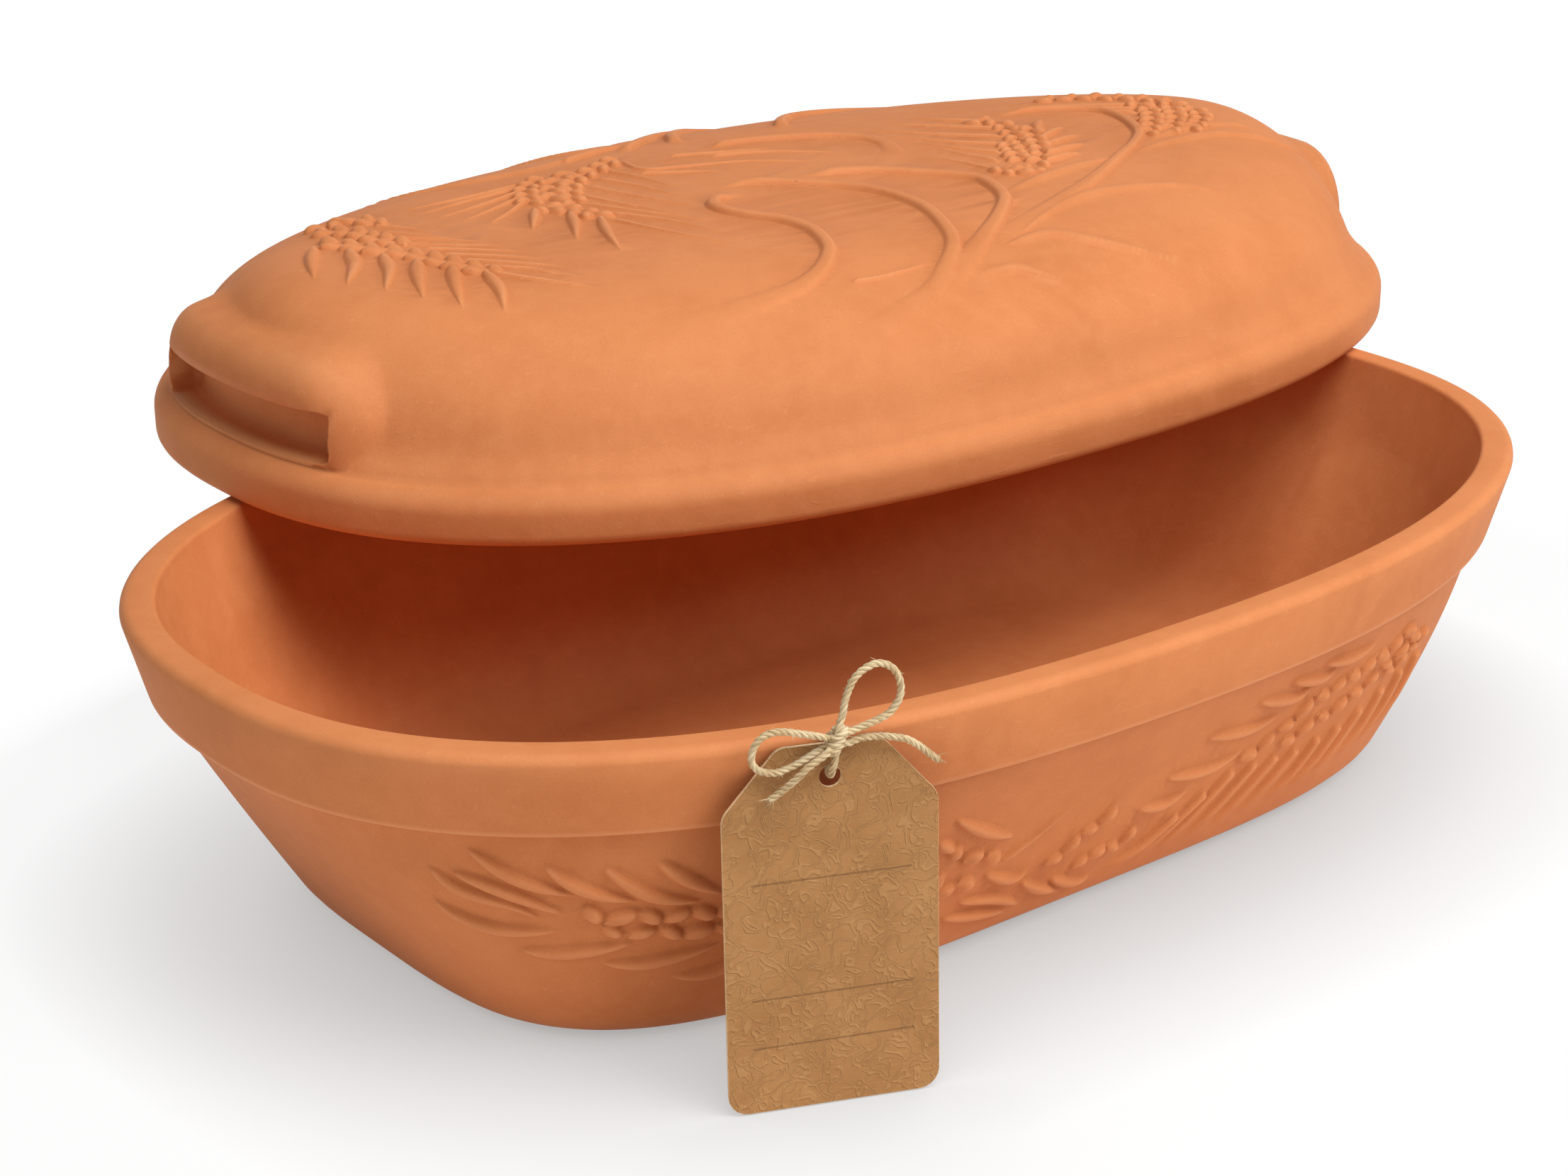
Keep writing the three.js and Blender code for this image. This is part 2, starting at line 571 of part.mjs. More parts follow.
function lidGeometry() {
  const bothEnds = (solid) => solid.add(solid.rotate([0, 0, 180]));
  const hollow = solidOf(lidHollow()).subtract(bothEnds(gripPocket(POCKET_WALL)));
  const lid = solidOf(lidOutside())
    .add(bothEnds(gripPad()))
    .subtract(hollow)
    .subtract(bothEnds(gripPocket(0)))
    .add(lidRelief());
  return geometryOf(lid);
}

// Hang tag, in a frame of its own: X along its width, Z up its length, -Y out of its front
function tagCard() {
  const half = TAG_WIDTH / 2;
  const card = new THREE.Shape();
  card.moveTo(-half + TAG_CORNER, 0);
  card.lineTo(half - TAG_CORNER, 0);
  card.absarc(half - TAG_CORNER, TAG_CORNER, TAG_CORNER, -Math.PI / 2, 0);
  card.lineTo(half, TAG_LENGTH - TAG_CUT);
  card.lineTo(TAG_TOP_EDGE / 2, TAG_LENGTH);
  card.lineTo(-TAG_TOP_EDGE / 2, TAG_LENGTH);
  card.lineTo(-half, TAG_LENGTH - TAG_CUT);
  card.lineTo(-half, TAG_CORNER);
  card.absarc(-half + TAG_CORNER, TAG_CORNER, TAG_CORNER, Math.PI, 1.5 * Math.PI);
  const hole = new THREE.Path();
  hole.absarc(0, TAG_LENGTH - TAG_HOLE_DROP, TAG_HOLE_RADIUS, 0, 2 * Math.PI, true);
  card.holes.push(hole);
  const body = new THREE.ExtrudeGeometry(card, {
    depth: TAG_THICKNESS,
    bevelEnabled: false,
    curveSegments: 2 * ROUND_STEPS,
  });
  return body.rotateX(Math.PI / 2).translate(0, TAG_THICKNESS, 0);
}

// Routes of the bow's stretches. Each point is how far right of the tag's middle line it lies, how far above
// the tag's top edge, and how far in front of the tag's face.
const TWINE_ROUTES = {
  twine_left_loop: [
    [-1.9, 2.2, 2.4], [-3.4, 2.7, 2.5], [-6.6, 3.6, 2.6], [-9.7, 4.4, 2.6], [-12, 4.7, 2.6],
    [-14.4, 4.2, 2.5], [-16.2, 2.7, 2.4], [-17.2, 0.5, 2.3], [-17.2, -1.6, 2.2], [-16.2, -3.1, 2.1],
    [-14.4, -4.1, 1.9], [-12, -4.5, 1.8], [-9.7, -4, 1.7], [-6.6, -2.8, 1.6], [-3.4, -1.1, 1.5],
    [-2, -0.5, 1.5],
  ],
  twine_right_loop: [
    [1.6, 5.4, 2.6], [2.1, 7, 2.7], [2.5, 9.5, 2.8], [3.3, 12.1, 2.9], [4.7, 14.6, 2.9],
    [6.7, 16.3, 2.9], [9.4, 17.2, 2.9], [11.9, 16.5, 2.9], [13.7, 14.6, 2.9], [14.5, 12.1, 2.8],
    [14.4, 9.5, 2.7], [13.4, 7.5, 2.6], [11.9, 5.8, 2.5], [9.4, 4.7, 2.5], [6.7, 3.8, 2.5],
    [4.1, 3, 2.5], [3.1, 2.7, 2.5],
  ],
  twine_left_tail: [
    [-2, -0.9, 4], [-3.4, -1.7, 4.1], [-5.8, -3.2, 4.1], [-8.1, -5.7, 3.4], [-10.5, -8.2, 2.2],
    [-13.4, -10.6, 1.3],
  ],
  twine_right_tail: [
    [3.2, 0.4, 2.4], [4.4, 0.8, 2.4], [6.7, 1.2, 2.3], [9.8, 1, 2.2], [13, 0.4, 2.1], [16.1, -0.6, 1.9],
    [18.7, -2.4, 1.6], [21.1, -4.6, 1.3], [23.1, -6.3, 1.2],
  ],
  twine_hole_tie: [
    [0.4, -3, 2.2], [0.2, -4.4, 2], [0, -5.6, 1.6], [0, -6.8, 0.7], [0, -7.2, -0.4],
    [0, -6.8, -1.5], [0, -5.6, -2.1], [0, -4, -2.2], [0, -1.8, -2.2], [0.2, 0, -2],
    [0.4, 1.2, -1.3], [0.6, 1.6, -0.4], [0.6, 1.6, 0],
  ],
};
const KNOT_PLACE = [0.6, 1, 2.5];

const onTag = ([right, above, front]) => new THREE.Vector3(right, -front, TAG_LENGTH + above);

function twineStretch(name) {
  const route = new THREE.CatmullRomCurve3(TWINE_ROUTES[name].map(onTag));
  const section = new THREE.Shape();
  for (let side = 0; side < TWINE_SIDES; side++) {
    const angle = (2 * Math.PI * side) / TWINE_SIDES;
    const x = (TWINE_DIAMETER / 2) * Math.cos(angle);
    const y = (TWINE_DIAMETER / 2) * Math.sin(angle);
    if (side === 0) section.moveTo(x, y);
    else section.lineTo(x, y);
  }
  section.closePath();
  const steps = Math.ceil(route.getLength() / TWINE_STEP);
  return new THREE.ExtrudeGeometry(section, { steps, extrudePath: route, bevelEnabled: false });
}

function twineKnot() {
  const knot = new THREE.SphereGeometry(1, KNOT_SIDES, KNOT_RINGS).rotateX(Math.PI / 2);
  knot.scale(KNOT_HALF_WIDTH, KNOT_HALF_WIDTH, KNOT_HALF_HEIGHT);
  return knot.translate(...onTag(KNOT_PLACE).toArray());
}

// The tag stands on the table before the rim, turned a little from the way the rim faces, and its tie leans
// on the rim
function tagGroup() {
  const a = RIM_LENGTH / 2;
  const b = RIM_WIDTH / 2;
  const touch = new THREE.Vector2(-TAG_LEFT_OF_MIDDLE, -ovalReach(b, a, RIM_POWER, TAG_LEFT_OF_MIDDLE));
  const slope = (value, half) => (Math.sign(value) * Math.pow(Math.abs(value) / half, RIM_POWER - 1)) / half;
  const outward = new THREE.Vector2(slope(touch.x, a), slope(touch.y, b)).normalize();
  const tieHeight = BOWL_HEIGHT - RIM_ROUND;
  const tieRoom = TAG_THICKNESS + TWINE_DIAMETER + 2 * CLEARANCE;
  const stand = tieHeight * Math.tan(TAG_LEAN) + tieRoom / Math.cos(TAG_LEAN);
  const foot = touch.clone().addScaledVector(outward, stand);

  const leaning = new THREE.Group();
  leaning.rotation.x = -TAG_LEAN;
  leaning.add(namedMesh("hang_tag", tagCard(), kraft()));
  leaning.add(namedMesh("twine_knot", twineKnot(), jute()));
  for (const name of Object.keys(TWINE_ROUTES)) leaning.add(namedMesh(name, twineStretch(name), jute()));

  const standing = new THREE.Group();
  standing.position.set(foot.x, foot.y, TAG_LIFT);
  standing.rotation.z = Math.atan2(outward.y, outward.x) + Math.PI / 2 - TAG_TURN;
  standing.add(leaning);
  return standing;
}

const baker = new THREE.Group();
baker.add(namedMesh("bowl", bowlGeometry(), clay()));

const lid = namedMesh("lid", lidGeometry(), clay());
lid.position.set(LID_OPEN_X, LID_OPEN_Y, BOWL_HEIGHT + SEAT_GAP);
baker.add(lid);

baker.add(tagGroup());

export default baker;
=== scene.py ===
"""A covered bread baker of unglazed clay: the carved bowl and lid, the card tag and its tied twine."""

import math
from functools import reduce

import bmesh
import bpy
import numpy as np
from mathutils import Matrix, Vector
from mathutils.bvhtree import BVHTree


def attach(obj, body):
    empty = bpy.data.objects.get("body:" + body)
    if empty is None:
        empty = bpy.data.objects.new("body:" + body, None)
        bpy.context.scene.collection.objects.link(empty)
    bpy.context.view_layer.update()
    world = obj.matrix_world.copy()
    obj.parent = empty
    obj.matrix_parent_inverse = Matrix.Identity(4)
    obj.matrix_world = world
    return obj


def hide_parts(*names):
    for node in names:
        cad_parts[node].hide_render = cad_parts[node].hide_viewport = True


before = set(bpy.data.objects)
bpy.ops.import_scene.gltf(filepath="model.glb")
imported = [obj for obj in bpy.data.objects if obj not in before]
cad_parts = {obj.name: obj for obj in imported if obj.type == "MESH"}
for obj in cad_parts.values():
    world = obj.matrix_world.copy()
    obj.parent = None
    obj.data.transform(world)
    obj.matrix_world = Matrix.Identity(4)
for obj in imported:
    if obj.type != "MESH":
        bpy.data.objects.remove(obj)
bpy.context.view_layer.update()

# Shapes are worked out in millimetres, and their meshes are scaled to metres
MM = 0.001
scene = bpy.context.scene
rng = np.random.default_rng(7)

# Camera

CAMERA_TARGET = Vector((-9.14, 19.73, 53.99)) * MM
CAMERA_DISTANCE = 785.95 * MM
CAMERA_AZIMUTH = math.radians(-38.47)
CAMERA_ELEVATION = math.radians(21.46)
CAMERA_ROLL = math.radians(-0.33)
CAMERA_LENS = 69.98
CAMERA_SENSOR = 36


def make_camera():
    level_right = Vector((math.cos(CAMERA_AZIMUTH), math.sin(CAMERA_AZIMUTH), 0))
    level_back = Vector((math.sin(CAMERA_AZIMUTH), -math.cos(CAMERA_AZIMUTH), 0))
    back = level_back * math.cos(CAMERA_ELEVATION) + Vector((0, 0, math.sin(CAMERA_ELEVATION)))
    right = level_right * math.cos(CAMERA_ROLL) + back.cross(level_right) * math.sin(CAMERA_ROLL)
    turn = Matrix((right, back.cross(right), back)).transposed().to_4x4()
    camera = bpy.data.objects.new("camera", bpy.data.cameras.new("camera"))
    camera.data.lens = CAMERA_LENS
    camera.data.sensor_width = CAMERA_SENSOR
    camera.matrix_world = Matrix.Translation(CAMERA_TARGET + back * CAMERA_DISTANCE) @ turn
    scene.collection.objects.link(camera)
    scene.camera = camera


make_camera()


# Lines and meshes


def smooth_line(points, step):
    """A smooth curve through the points, as points about that far apart."""
    points = np.asarray(points, float)
    reached = np.vstack([2 * points[0] - points[1], points, 2 * points[-1] - points[-2]])
    spans = []
    for before, start, end, after in zip(reached[:-3], reached[1:-2], reached[2:-1], reached[3:]):
        count = max(2, math.ceil(np.linalg.norm(end - start) / step))
        t = np.arange(count)[:, None] / count
        bend = 2 * before - 5 * start + 4 * end - after
        twist = 3 * start - before - 3 * end + after
        spans.append(start + 0.5 * ((end - before) * t + bend * t**2 + twist * t**3))
    return np.vstack([*spans, points[-1:]])


def run_length(line):
    """How far along the line each of its points lies."""
    return np.concatenate([[0], np.cumsum(np.linalg.norm(np.diff(line, axis=0), axis=1))])


def points_along(line, shares):
    """The points at those shares of the line's length."""
    line = np.asarray(line, float)
    run = run_length(line)
    return np.stack([np.interp(np.asarray(shares) * run[-1], run, axis) for axis in line.T], axis=1)


def quarter_turn(steps):
    return np.linspace(0, math.pi / 2, steps + 1)


def edges_of_faces(faces):
    """The edges of the faces, each once and always in the same order."""
    return list(dict.fromkeys(edge for face in faces for edge in face.edges))


def edges_of_verts(verts):
    return list(dict.fromkeys(edge for vert in verts for edge in vert.link_edges))


def round_off(bm, geom, offset, segments, affect="EDGES", clamp_overlap=False):
    bmesh.ops.bevel(
        bm, geom=geom, offset=offset, offset_type="OFFSET", segments=segments, profile=0.5,
        affect=affect, clamp_overlap=clamp_overlap, material=-1,
    )


def loft(bm, rings, capped):
    """Extrudes one ring of edges through rings of points. Capped ends get a face each."""
    turn = bm.verts.layers.int.get("turn") or bm.verts.layers.int.new("turn")
    level = bm.verts.layers.int.get("level") or bm.verts.layers.int.new("level")
    verts = bmesh.ops.create_circle(bm, segments=rings.shape[1], radius=1)["verts"]
    for number, vert in enumerate(verts):
        vert[turn] = number
        vert[level] = 0
    edges = edges_of_verts(verts)
    if capped:
        bmesh.ops.edgeloop_fill(bm, edges=edges)
    lofted = list(verts)
    for number in range(1, len(rings)):
        grown = bmesh.ops.extrude_edge_only(bm, edges=edges)["geom"]
        verts = {item for item in grown if isinstance(item, bmesh.types.BMVert)}
        edges = [
            item
            for item in grown
            if isinstance(item, bmesh.types.BMEdge) and verts.issuperset(item.verts)
        ]
        for vert in verts:
            vert[level] = number
        lofted.extend(verts)
    if capped:
        bmesh.ops.edgeloop_fill(bm, edges=edges)
    for vert in lofted:
        vert.co = rings[vert[level], vert[turn]]
    return lofted


def finished_piece(bm, name, body, material, replaced, smooth=True):
    """The mesh, in metres, as a piece that rides on a body and stands for CAD nodes."""
    bmesh.ops.recalc_face_normals(bm, faces=bm.faces)
    bmesh.ops.scale(bm, vec=(MM, MM, MM), verts=bm.verts)
    for face in bm.faces:
        face.smooth = smooth
    mesh = bpy.data.meshes.new(name)
    bm.to_mesh(mesh)
    bm.free()
    mesh.materials.append(material)
    piece = bpy.data.objects.new(name, mesh)
    scene.collection.objects.link(piece)
    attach(piece, body)
    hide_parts(*replaced)
    return piece


# Materials


class Value:
    """A number, colour or vector in a material, so that its sums are written as Python ones."""

    def __init__(self, paint, socket):
        self.paint = paint
        self.socket = socket

    def sum(self, operation, *others):
        return self.paint.node("ShaderNodeMath", dict(enumerate((self, *others))), operation=operation)

    def __add__(self, other):
        return self.sum("ADD", other)

    def __sub__(self, other):
        return self.sum("SUBTRACT", other)

    def __rsub__(self, other):
        return self.sum("MULTIPLY_ADD", -1, other)

    def __mul__(self, other):
        return self.sum("MULTIPLY", other)

    def __truediv__(self, other):
        return self.sum("DIVIDE", other)

    def __abs__(self):
        return self.sum("ABSOLUTE")

    __radd__ = __add__
    __rmul__ = __mul__

    def rise(self, low, high):
        """0 below low, 1 above high, and a smooth rise between."""
        inputs = {"Value": self, "From Min": low, "From Max": high}
        return self.paint.node("ShaderNodeMapRange", inputs, interpolation_type="SMOOTHSTEP")


def largest(values):
    return reduce(lambda first, second: first.sum("MAXIMUM", second), values)


class Paint:
    """The node tree of one procedural material, or of the world."""

    def __init__(self, owner):
        owner.use_nodes = True
        self.owner = owner
        self.tree = owner.node_tree
        self.tree.nodes.clear()

    def node(self, kind, inputs, output=0, **settings):
        made = self.tree.nodes.new(kind)
        for name, setting in settings.items():
            setattr(made, name, setting)
        for name, value in inputs.items():
            if isinstance(value, Value):
                self.tree.links.new(value.socket, made.inputs[name])
            else:
                made.inputs[name].default_value = value
        return Value(self, made.outputs[output]) if made.outputs else None

    def place(self, kind="Object"):
        return self.node("ShaderNodeTexCoord", {}, output=kind)

    def noise(self, vector, scale, detail=2.0, roughness=0.5, distortion=0.0):
        inputs = {
            "Vector": vector,
            "Scale": scale,
            "Detail": detail,
            "Roughness": roughness,
            "Distortion": distortion,
        }
        return self.node("ShaderNodeTexNoise", inputs)

    def stretched(self, vector, scale):
        return self.node("ShaderNodeMapping", {"Vector": vector, "Scale": scale})

    def mixed(self, factor, first, second):
        inputs = {0: factor, 6: first, 7: second}
        return self.node("ShaderNodeMix", inputs, output=2, data_type="RGBA")

    def attribute(self, name):
        return self.node("ShaderNodeAttribute", {}, output="Fac", attribute_name=name)

    def bump(self, height, strength, distance):
        inputs = {"Height": height, "Strength": strength, "Distance": distance}
        return self.node("ShaderNodeBump", inputs)

    def seen(self):
        """1 for what the camera sees, also mirrored or through glass, and 0 for what only gives light."""
        ways = ("Camera", "Glossy", "Transmission")
        return largest(self.node("ShaderNodeLightPath", {}, output=f"Is {way} Ray") for way in ways)

    def finish(self, shader):
        self.node("ShaderNodeOutputMaterial", {"Surface": shader})
        return self.owner


def clay_material():
    """Unglazed red clay: a fine grain, paler edges that are partly wear and partly painted highlight, and
    painted shade in the hollows of the relief.
    """
    paint = Paint(bpy.data.materials.new("unglazed_clay"))
    place = paint.place()
    cloudy = paint.noise(place, scale=26, detail=3, roughness=0.55).rise(0.3, 0.72)
    mottled = paint.noise(place, scale=170, detail=4, roughness=0.6)
    grain = paint.noise(place, scale=1500, detail=2, roughness=0.7)
    specks = paint.noise(place, scale=620, detail=1).rise(0.71, 0.76)
    streaks = paint.stretched(place, (90, 700, 500))
    scratches = paint.noise(streaks, scale=1, distortion=0.6).rise(0.66, 0.72)
    wear_and_highlight = paint.attribute("wear_and_highlight")
    hollow = paint.attribute("hollow")

    colour = paint.mixed(cloudy, (0.60, 0.200, 0.064, 1), (0.67, 0.236, 0.082, 1))
    colour = paint.mixed(mottled.rise(0.35, 0.75) * 0.35, colour, (0.72, 0.275, 0.105, 1))
    colour = paint.mixed(grain.rise(0.45, 0.7) * 0.18, colour, (0.50, 0.155, 0.048, 1))
    colour = paint.mixed(specks * 0.14, colour, (0.80, 0.38, 0.18, 1))
    colour = paint.mixed(scratches * 0.07, colour, (0.82, 0.38, 0.17, 1))
    # Paler where edges stand out: wear, and on the band's lower edge a painted highlight
    colour = paint.mixed(wear_and_highlight * 0.5, colour, (0.80, 0.35, 0.15, 1))
    # Painted shade: darker in the hollows of the relief
    colour = paint.mixed(hollow * 0.4, colour, (0.36, 0.100, 0.030, 1))

    height = grain * 0.35 + mottled * 0.9 + scratches * 0.3 - specks * 0.25
    shader = paint.node(
        "ShaderNodeBsdfPrincipled",
        {
            "Base Color": colour,
            "Roughness": 0.62 + mottled * 0.14 - wear_and_highlight * 0.12,
            "Specular IOR Level": 0.25,
            "Normal": paint.bump(height, strength=0.32, distance=0.00035),
        },
    )
    return paint.finish(shader)


def twine_material():
    """Pale plant fibre, streaked along its strands."""
    paint = Paint(bpy.data.materials.new("plant_fibre"))
    place = paint.place()
    run = paint.place("UV")
    fibres = paint.noise(paint.stretched(run, (120, 2600, 1)), scale=1, detail=3, roughness=0.6)
    patches = paint.noise(place, scale=240, detail=2)
    colour = paint.mixed(fibres.rise(0.3, 0.7), (0.36, 0.22, 0.09, 1), (0.78, 0.62, 0.36, 1))
    colour = paint.mixed(patches.rise(0.4, 0.75) * 0.5, colour, (0.86, 0.74, 0.50, 1))
    shader = paint.node(
        "ShaderNodeBsdfPrincipled",
        {
            "Base Color": colour,
            "Roughness": 0.72 + fibres * 0.15,
            "Sheen Weight": 0.25,
            "Sheen Roughness": 0.4,
            "Normal": paint.bump(fibres + patches * 0.4, strength=0.6, distance=0.00012),
        },
    )
    return paint.finish(shader)


# Thin printed rules on the tag, in metres: height above its lower edge and half length
TAG_RULES = ((0.0526, 0.0175), (0.0262, 0.0178), (0.0150, 0.0178))
RULE_EDGE = (0.000132, 0.000286)
RULE_END = 0.0002
# Where the pressed curls lie in a winding noise, and how wide their lines are
CURL_LEVELS = (0.45, 0.58)
CURL_EDGE = (0.010, 0.034)


def card_material():
    """Brown kraft card with fibres, pressed curls and thin printed rules, and a paler cut edge."""
    paint = Paint(bpy.data.materials.new("kraft_card"))
    flat = paint.place("UV")
    cut_edge = paint.attribute("cut_edge")
    across, up = (
        paint.node("ShaderNodeSeparateXYZ", {"Vector": flat}, output=axis) for axis in ("X", "Y")
    )
    clouds = paint.noise(flat, scale=70, detail=3)
    fibres = paint.noise(paint.stretched(flat, (500, 1900, 1)), scale=1, detail=3, roughness=0.65)
    cross_fibres = paint.noise(paint.stretched(flat, (2100, 420, 1)), scale=1, detail=2, roughness=0.6)
    winding = paint.noise(flat, scale=230, detail=0.6, distortion=0.9)
    pressed = largest(1 - abs(winding - level).rise(*CURL_EDGE) for level in CURL_LEVELS)
    ink = largest(
        (1 - abs(up - height).rise(*RULE_EDGE))
        * (1 - abs(across).rise(half_length, half_length + RULE_END))
        for height, half_length in TAG_RULES
    )

    colour = paint.mixed(clouds.rise(0.3, 0.7), (0.36, 0.175, 0.060, 1), (0.44, 0.225, 0.082, 1))
    colour = paint.mixed(fibres.rise(0.5, 0.75) * 0.4, colour, (0.55, 0.32, 0.135, 1))
    colour = paint.mixed(cross_fibres.rise(0.56, 0.75) * 0.35, colour, (0.26, 0.12, 0.040, 1))
    colour = paint.mixed(pressed * 0.30, colour, (0.52, 0.295, 0.12, 1))
    colour = paint.mixed(ink * 0.6, colour, (0.16, 0.075, 0.03, 1))
    colour = paint.mixed(cut_edge * 0.85, colour, (0.80, 0.60, 0.36, 1))
    height = pressed * 0.8 + fibres * 0.3 + cross_fibres * 0.2
    shader = paint.node(
        "ShaderNodeBsdfPrincipled",
        {
            "Base Color": colour,
            "Roughness": 0.74 + fibres * 0.14,
            "Specular IOR Level": 0.3,
            "Normal": paint.bump(height, strength=0.75, distance=0.0003),
        },
    )
    return paint.finish(shader)


# Tag and twine sizes, as in the CAD part

TAG_WIDTH = 47
TAG_LENGTH = 82.5
TAG_THICKNESS = 0.8
TAG_TOP_EDGE = 22.5
TAG_CUT = 14
TAG_CORNER = 4.5
TAG_CUT_CORNER = 1.6
TAG_HOLE_RADIUS = 2.4
TAG_HOLE_DROP = 7.4
TAG_HOLE_SIDES = 32
TAG_EDGE_ROUND = 0.12
TAG_SKIN = 0.02
SHARP_ANGLE = 1
TAG_FOOT = (-103.10, -115.20, 0.3)
TAG_YAW = math.radians(-22.77)
TAG_LEAN = math.radians(3)
TAG_PLACE = (
    Matrix.Translation(TAG_FOOT) @ Matrix.Rotation(TAG_YAW, 4, "Z") @ Matrix.Rotation(-TAG_LEAN, 4, "X")
)

TWINE_DIAMETER = 1.6
TWINE_PLIES = 3
TWINE_PLY_RADIUS = 0.43
TWINE_LAY_RADIUS = 0.40
TWINE_LAY_LENGTH = 4.4
TWINE_SIDES = 7
TWINE_STEP = 0.35

# Points of the bow: right of the tag's middle, above its top edge, in front of its face
KNOT_PLACE = (0.6, 1, 2.5)
LEFT_LOOP = [
    (-1.9, 2.2, 2.4), (-3.4, 2.7, 2.5), (-6.6, 3.6, 2.6), (-9.7, 4.4, 2.6), (-12, 4.7, 2.6),
    (-14.4, 4.2, 2.5), (-16.2, 2.7, 2.4), (-17.2, 0.5, 2.3), (-17.2, -1.6, 2.2), (-16.2, -3.1, 2.1),
    (-14.4, -4.1, 1.9), (-12, -4.5, 1.8), (-9.7, -4, 1.7), (-6.6, -2.8, 1.6), (-3.4, -1.1, 1.5),
    (-2, -0.5, 1.5),
]
RIGHT_LOOP = [
    (1.6, 5.4, 2.6), (2.1, 7, 2.7), (2.5, 9.5, 2.8), (3.3, 12.1, 2.9), (4.7, 14.6, 2.9),
    (6.7, 16.3, 2.9), (9.4, 17.2, 2.9), (11.9, 16.5, 2.9), (13.7, 14.6, 2.9), (14.5, 12.1, 2.8),
    (14.4, 9.5, 2.7), (13.4, 7.5, 2.6), (11.9, 5.8, 2.5), (9.4, 4.7, 2.5), (6.7, 3.8, 2.5),
    (4.1, 3, 2.5), (3.1, 2.7, 2.5),
]
LEFT_TAIL = [
    (-2, -0.9, 4), (-3.4, -1.7, 4.1), (-5.8, -3.2, 4.1), (-8.1, -5.7, 3.4), (-10.5, -8.2, 2.2),
    (-13.4, -10.6, 1.3),
]
RIGHT_TAIL = [
    (3.2, 0.4, 2.4), (4.4, 0.8, 2.4), (6.7, 1.2, 2.3), (9.8, 1, 2.2), (13, 0.4, 2.1), (16.1, -0.6, 1.9),
    (18.7, -2.4, 1.6), (21.1, -4.6, 1.3), (23.1, -6.3, 1.2),
]
HOLE_TIE = [
    (0.4, -3, 2.2), (0.2, -4.4, 2), (0, -5.6, 1.6), (0, -6.8, 0.7), (0, -7.2, -0.4),
    (0, -6.8, -1.5), (0, -5.6, -2.1), (0, -4, -2.2), (0, -1.8, -2.2), (0.2, 0, -2),
    (0.4, 1.2, -1.3), (0.6, 1.6, -0.4), (0.6, 1.6, 0),
]
TWINE_ROUTE = [
    *reversed(LEFT_TAIL), KNOT_PLACE, *LEFT_LOOP, KNOT_PLACE, *HOLE_TIE, KNOT_PLACE, *RIGHT_LOOP,
    KNOT_PLACE, *RIGHT_TAIL,
]
TWINE_STRETCHES = [
    "twine_left_tail", "twine_left_loop", "twine_hole_tie", "twine_right_loop", "twine_right_tail",
]
KNOT_TURNS = 3.4
KNOT_PITCH = 1.55
KNOT_HALF_WIDTH = 1.3
KNOT_HALF_DEPTH = 1.2
KNOT_SLANT = 0.35
KNOT_TILT = 0.45
KNOT_STEPS = 40

# Loose fibres: where the twine's ends fray, and strays along its run
FIBRE_RADII = np.linspace(0.09, 0.027, 5)
FIBRE_SIDES = 4
FIBRE_CURL = 0.35
FRAY_FIBRES = 11
FRAY_LENGTHS = (1.2, 2.4)
FRAY_SPREAD = 0.38
FRAY_START = 0.8
FRAY_SINK = 0.6
STRAY_FIBRES = 70
STRAY_LENGTHS = (0.7, 1.7)
STRAY_START = 0.42
STRAY_LIFT = 0.5
STRAY_LEAN = 0.9
STRAY_END_GAP = 10


def on_tag(points):
    """Points of the bow put in the frame."""
    own = [Vector((right, -front, TAG_LENGTH + above)) for right, above, front in points]
    return np.array([TAG_PLACE @ point for point in own])


def carried_sides(line):
    """The line's direction and two directions across it at each point, carried on without twisting."""
    along = np.gradient(line, axis=0)
    along /= np.linalg.norm(along, axis=1)[:, None]
    side = np.zeros_like(line)
    held = np.eye(3)[np.argmin(np.abs(along[0]))]
    for place, ahead in enumerate(along):
        held = held - ahead * (held @ ahead)
        held = held / np.linalg.norm(held)
        side[place] = held
    return along, side, np.cross(along, side)


def tube(bm, line, radii, sides):
    """A round tube along the line, with its run and its way round as UV."""
    along, side, other = carried_sides(line)
    angles = np.linspace(0, 2 * math.pi, sides, endpoint=False)
    offsets = side[:, None] * np.cos(angles)[:, None] + other[:, None] * np.sin(angles)[:, None]
    rings = line[:, None] + offsets * np.broadcast_to(radii, len(line))[:, None, None]
    run = run_length(line)
    girth = 2 * math.pi * float(np.mean(radii))
    lofted = loft(bm, rings, capped=True)
    turn = bm.verts.layers.int["turn"]
    level = bm.verts.layers.int["level"]
    uv = bm.loops.layers.uv.verify()
    for vert in lofted:
        for loop in vert.link_loops:
            loop[uv].uv = (run[vert[level]] * MM, vert[turn] / sides * girth * MM)


def twisted_twine(bm, line):
    """Plies laid round the line."""
    along, side, other = carried_sides(line)
    run = run_length(line)
    for ply in range(TWINE_PLIES):
        turn = 2 * math.pi * (run / TWINE_LAY_LENGTH + ply / TWINE_PLIES)
        offset = side * np.cos(turn)[:, None] + other * np.sin(turn)[:, None]
        tube(bm, line + offset * TWINE_LAY_RADIUS, TWINE_PLY_RADIUS, TWINE_SIDES)


def loose_fibre(bm, start, away, length):
    """A thin fibre that leaves the twine and curls."""
    curl = rng.normal(0, FIBRE_CURL, 3)
    shares = np.linspace(0, 1, len(FIBRE_RADII))[:, None]
    line = start + away * length * shares + curl * length / 2 * shares**2
    tube(bm, line, FIBRE_RADII, FIBRE_SIDES)


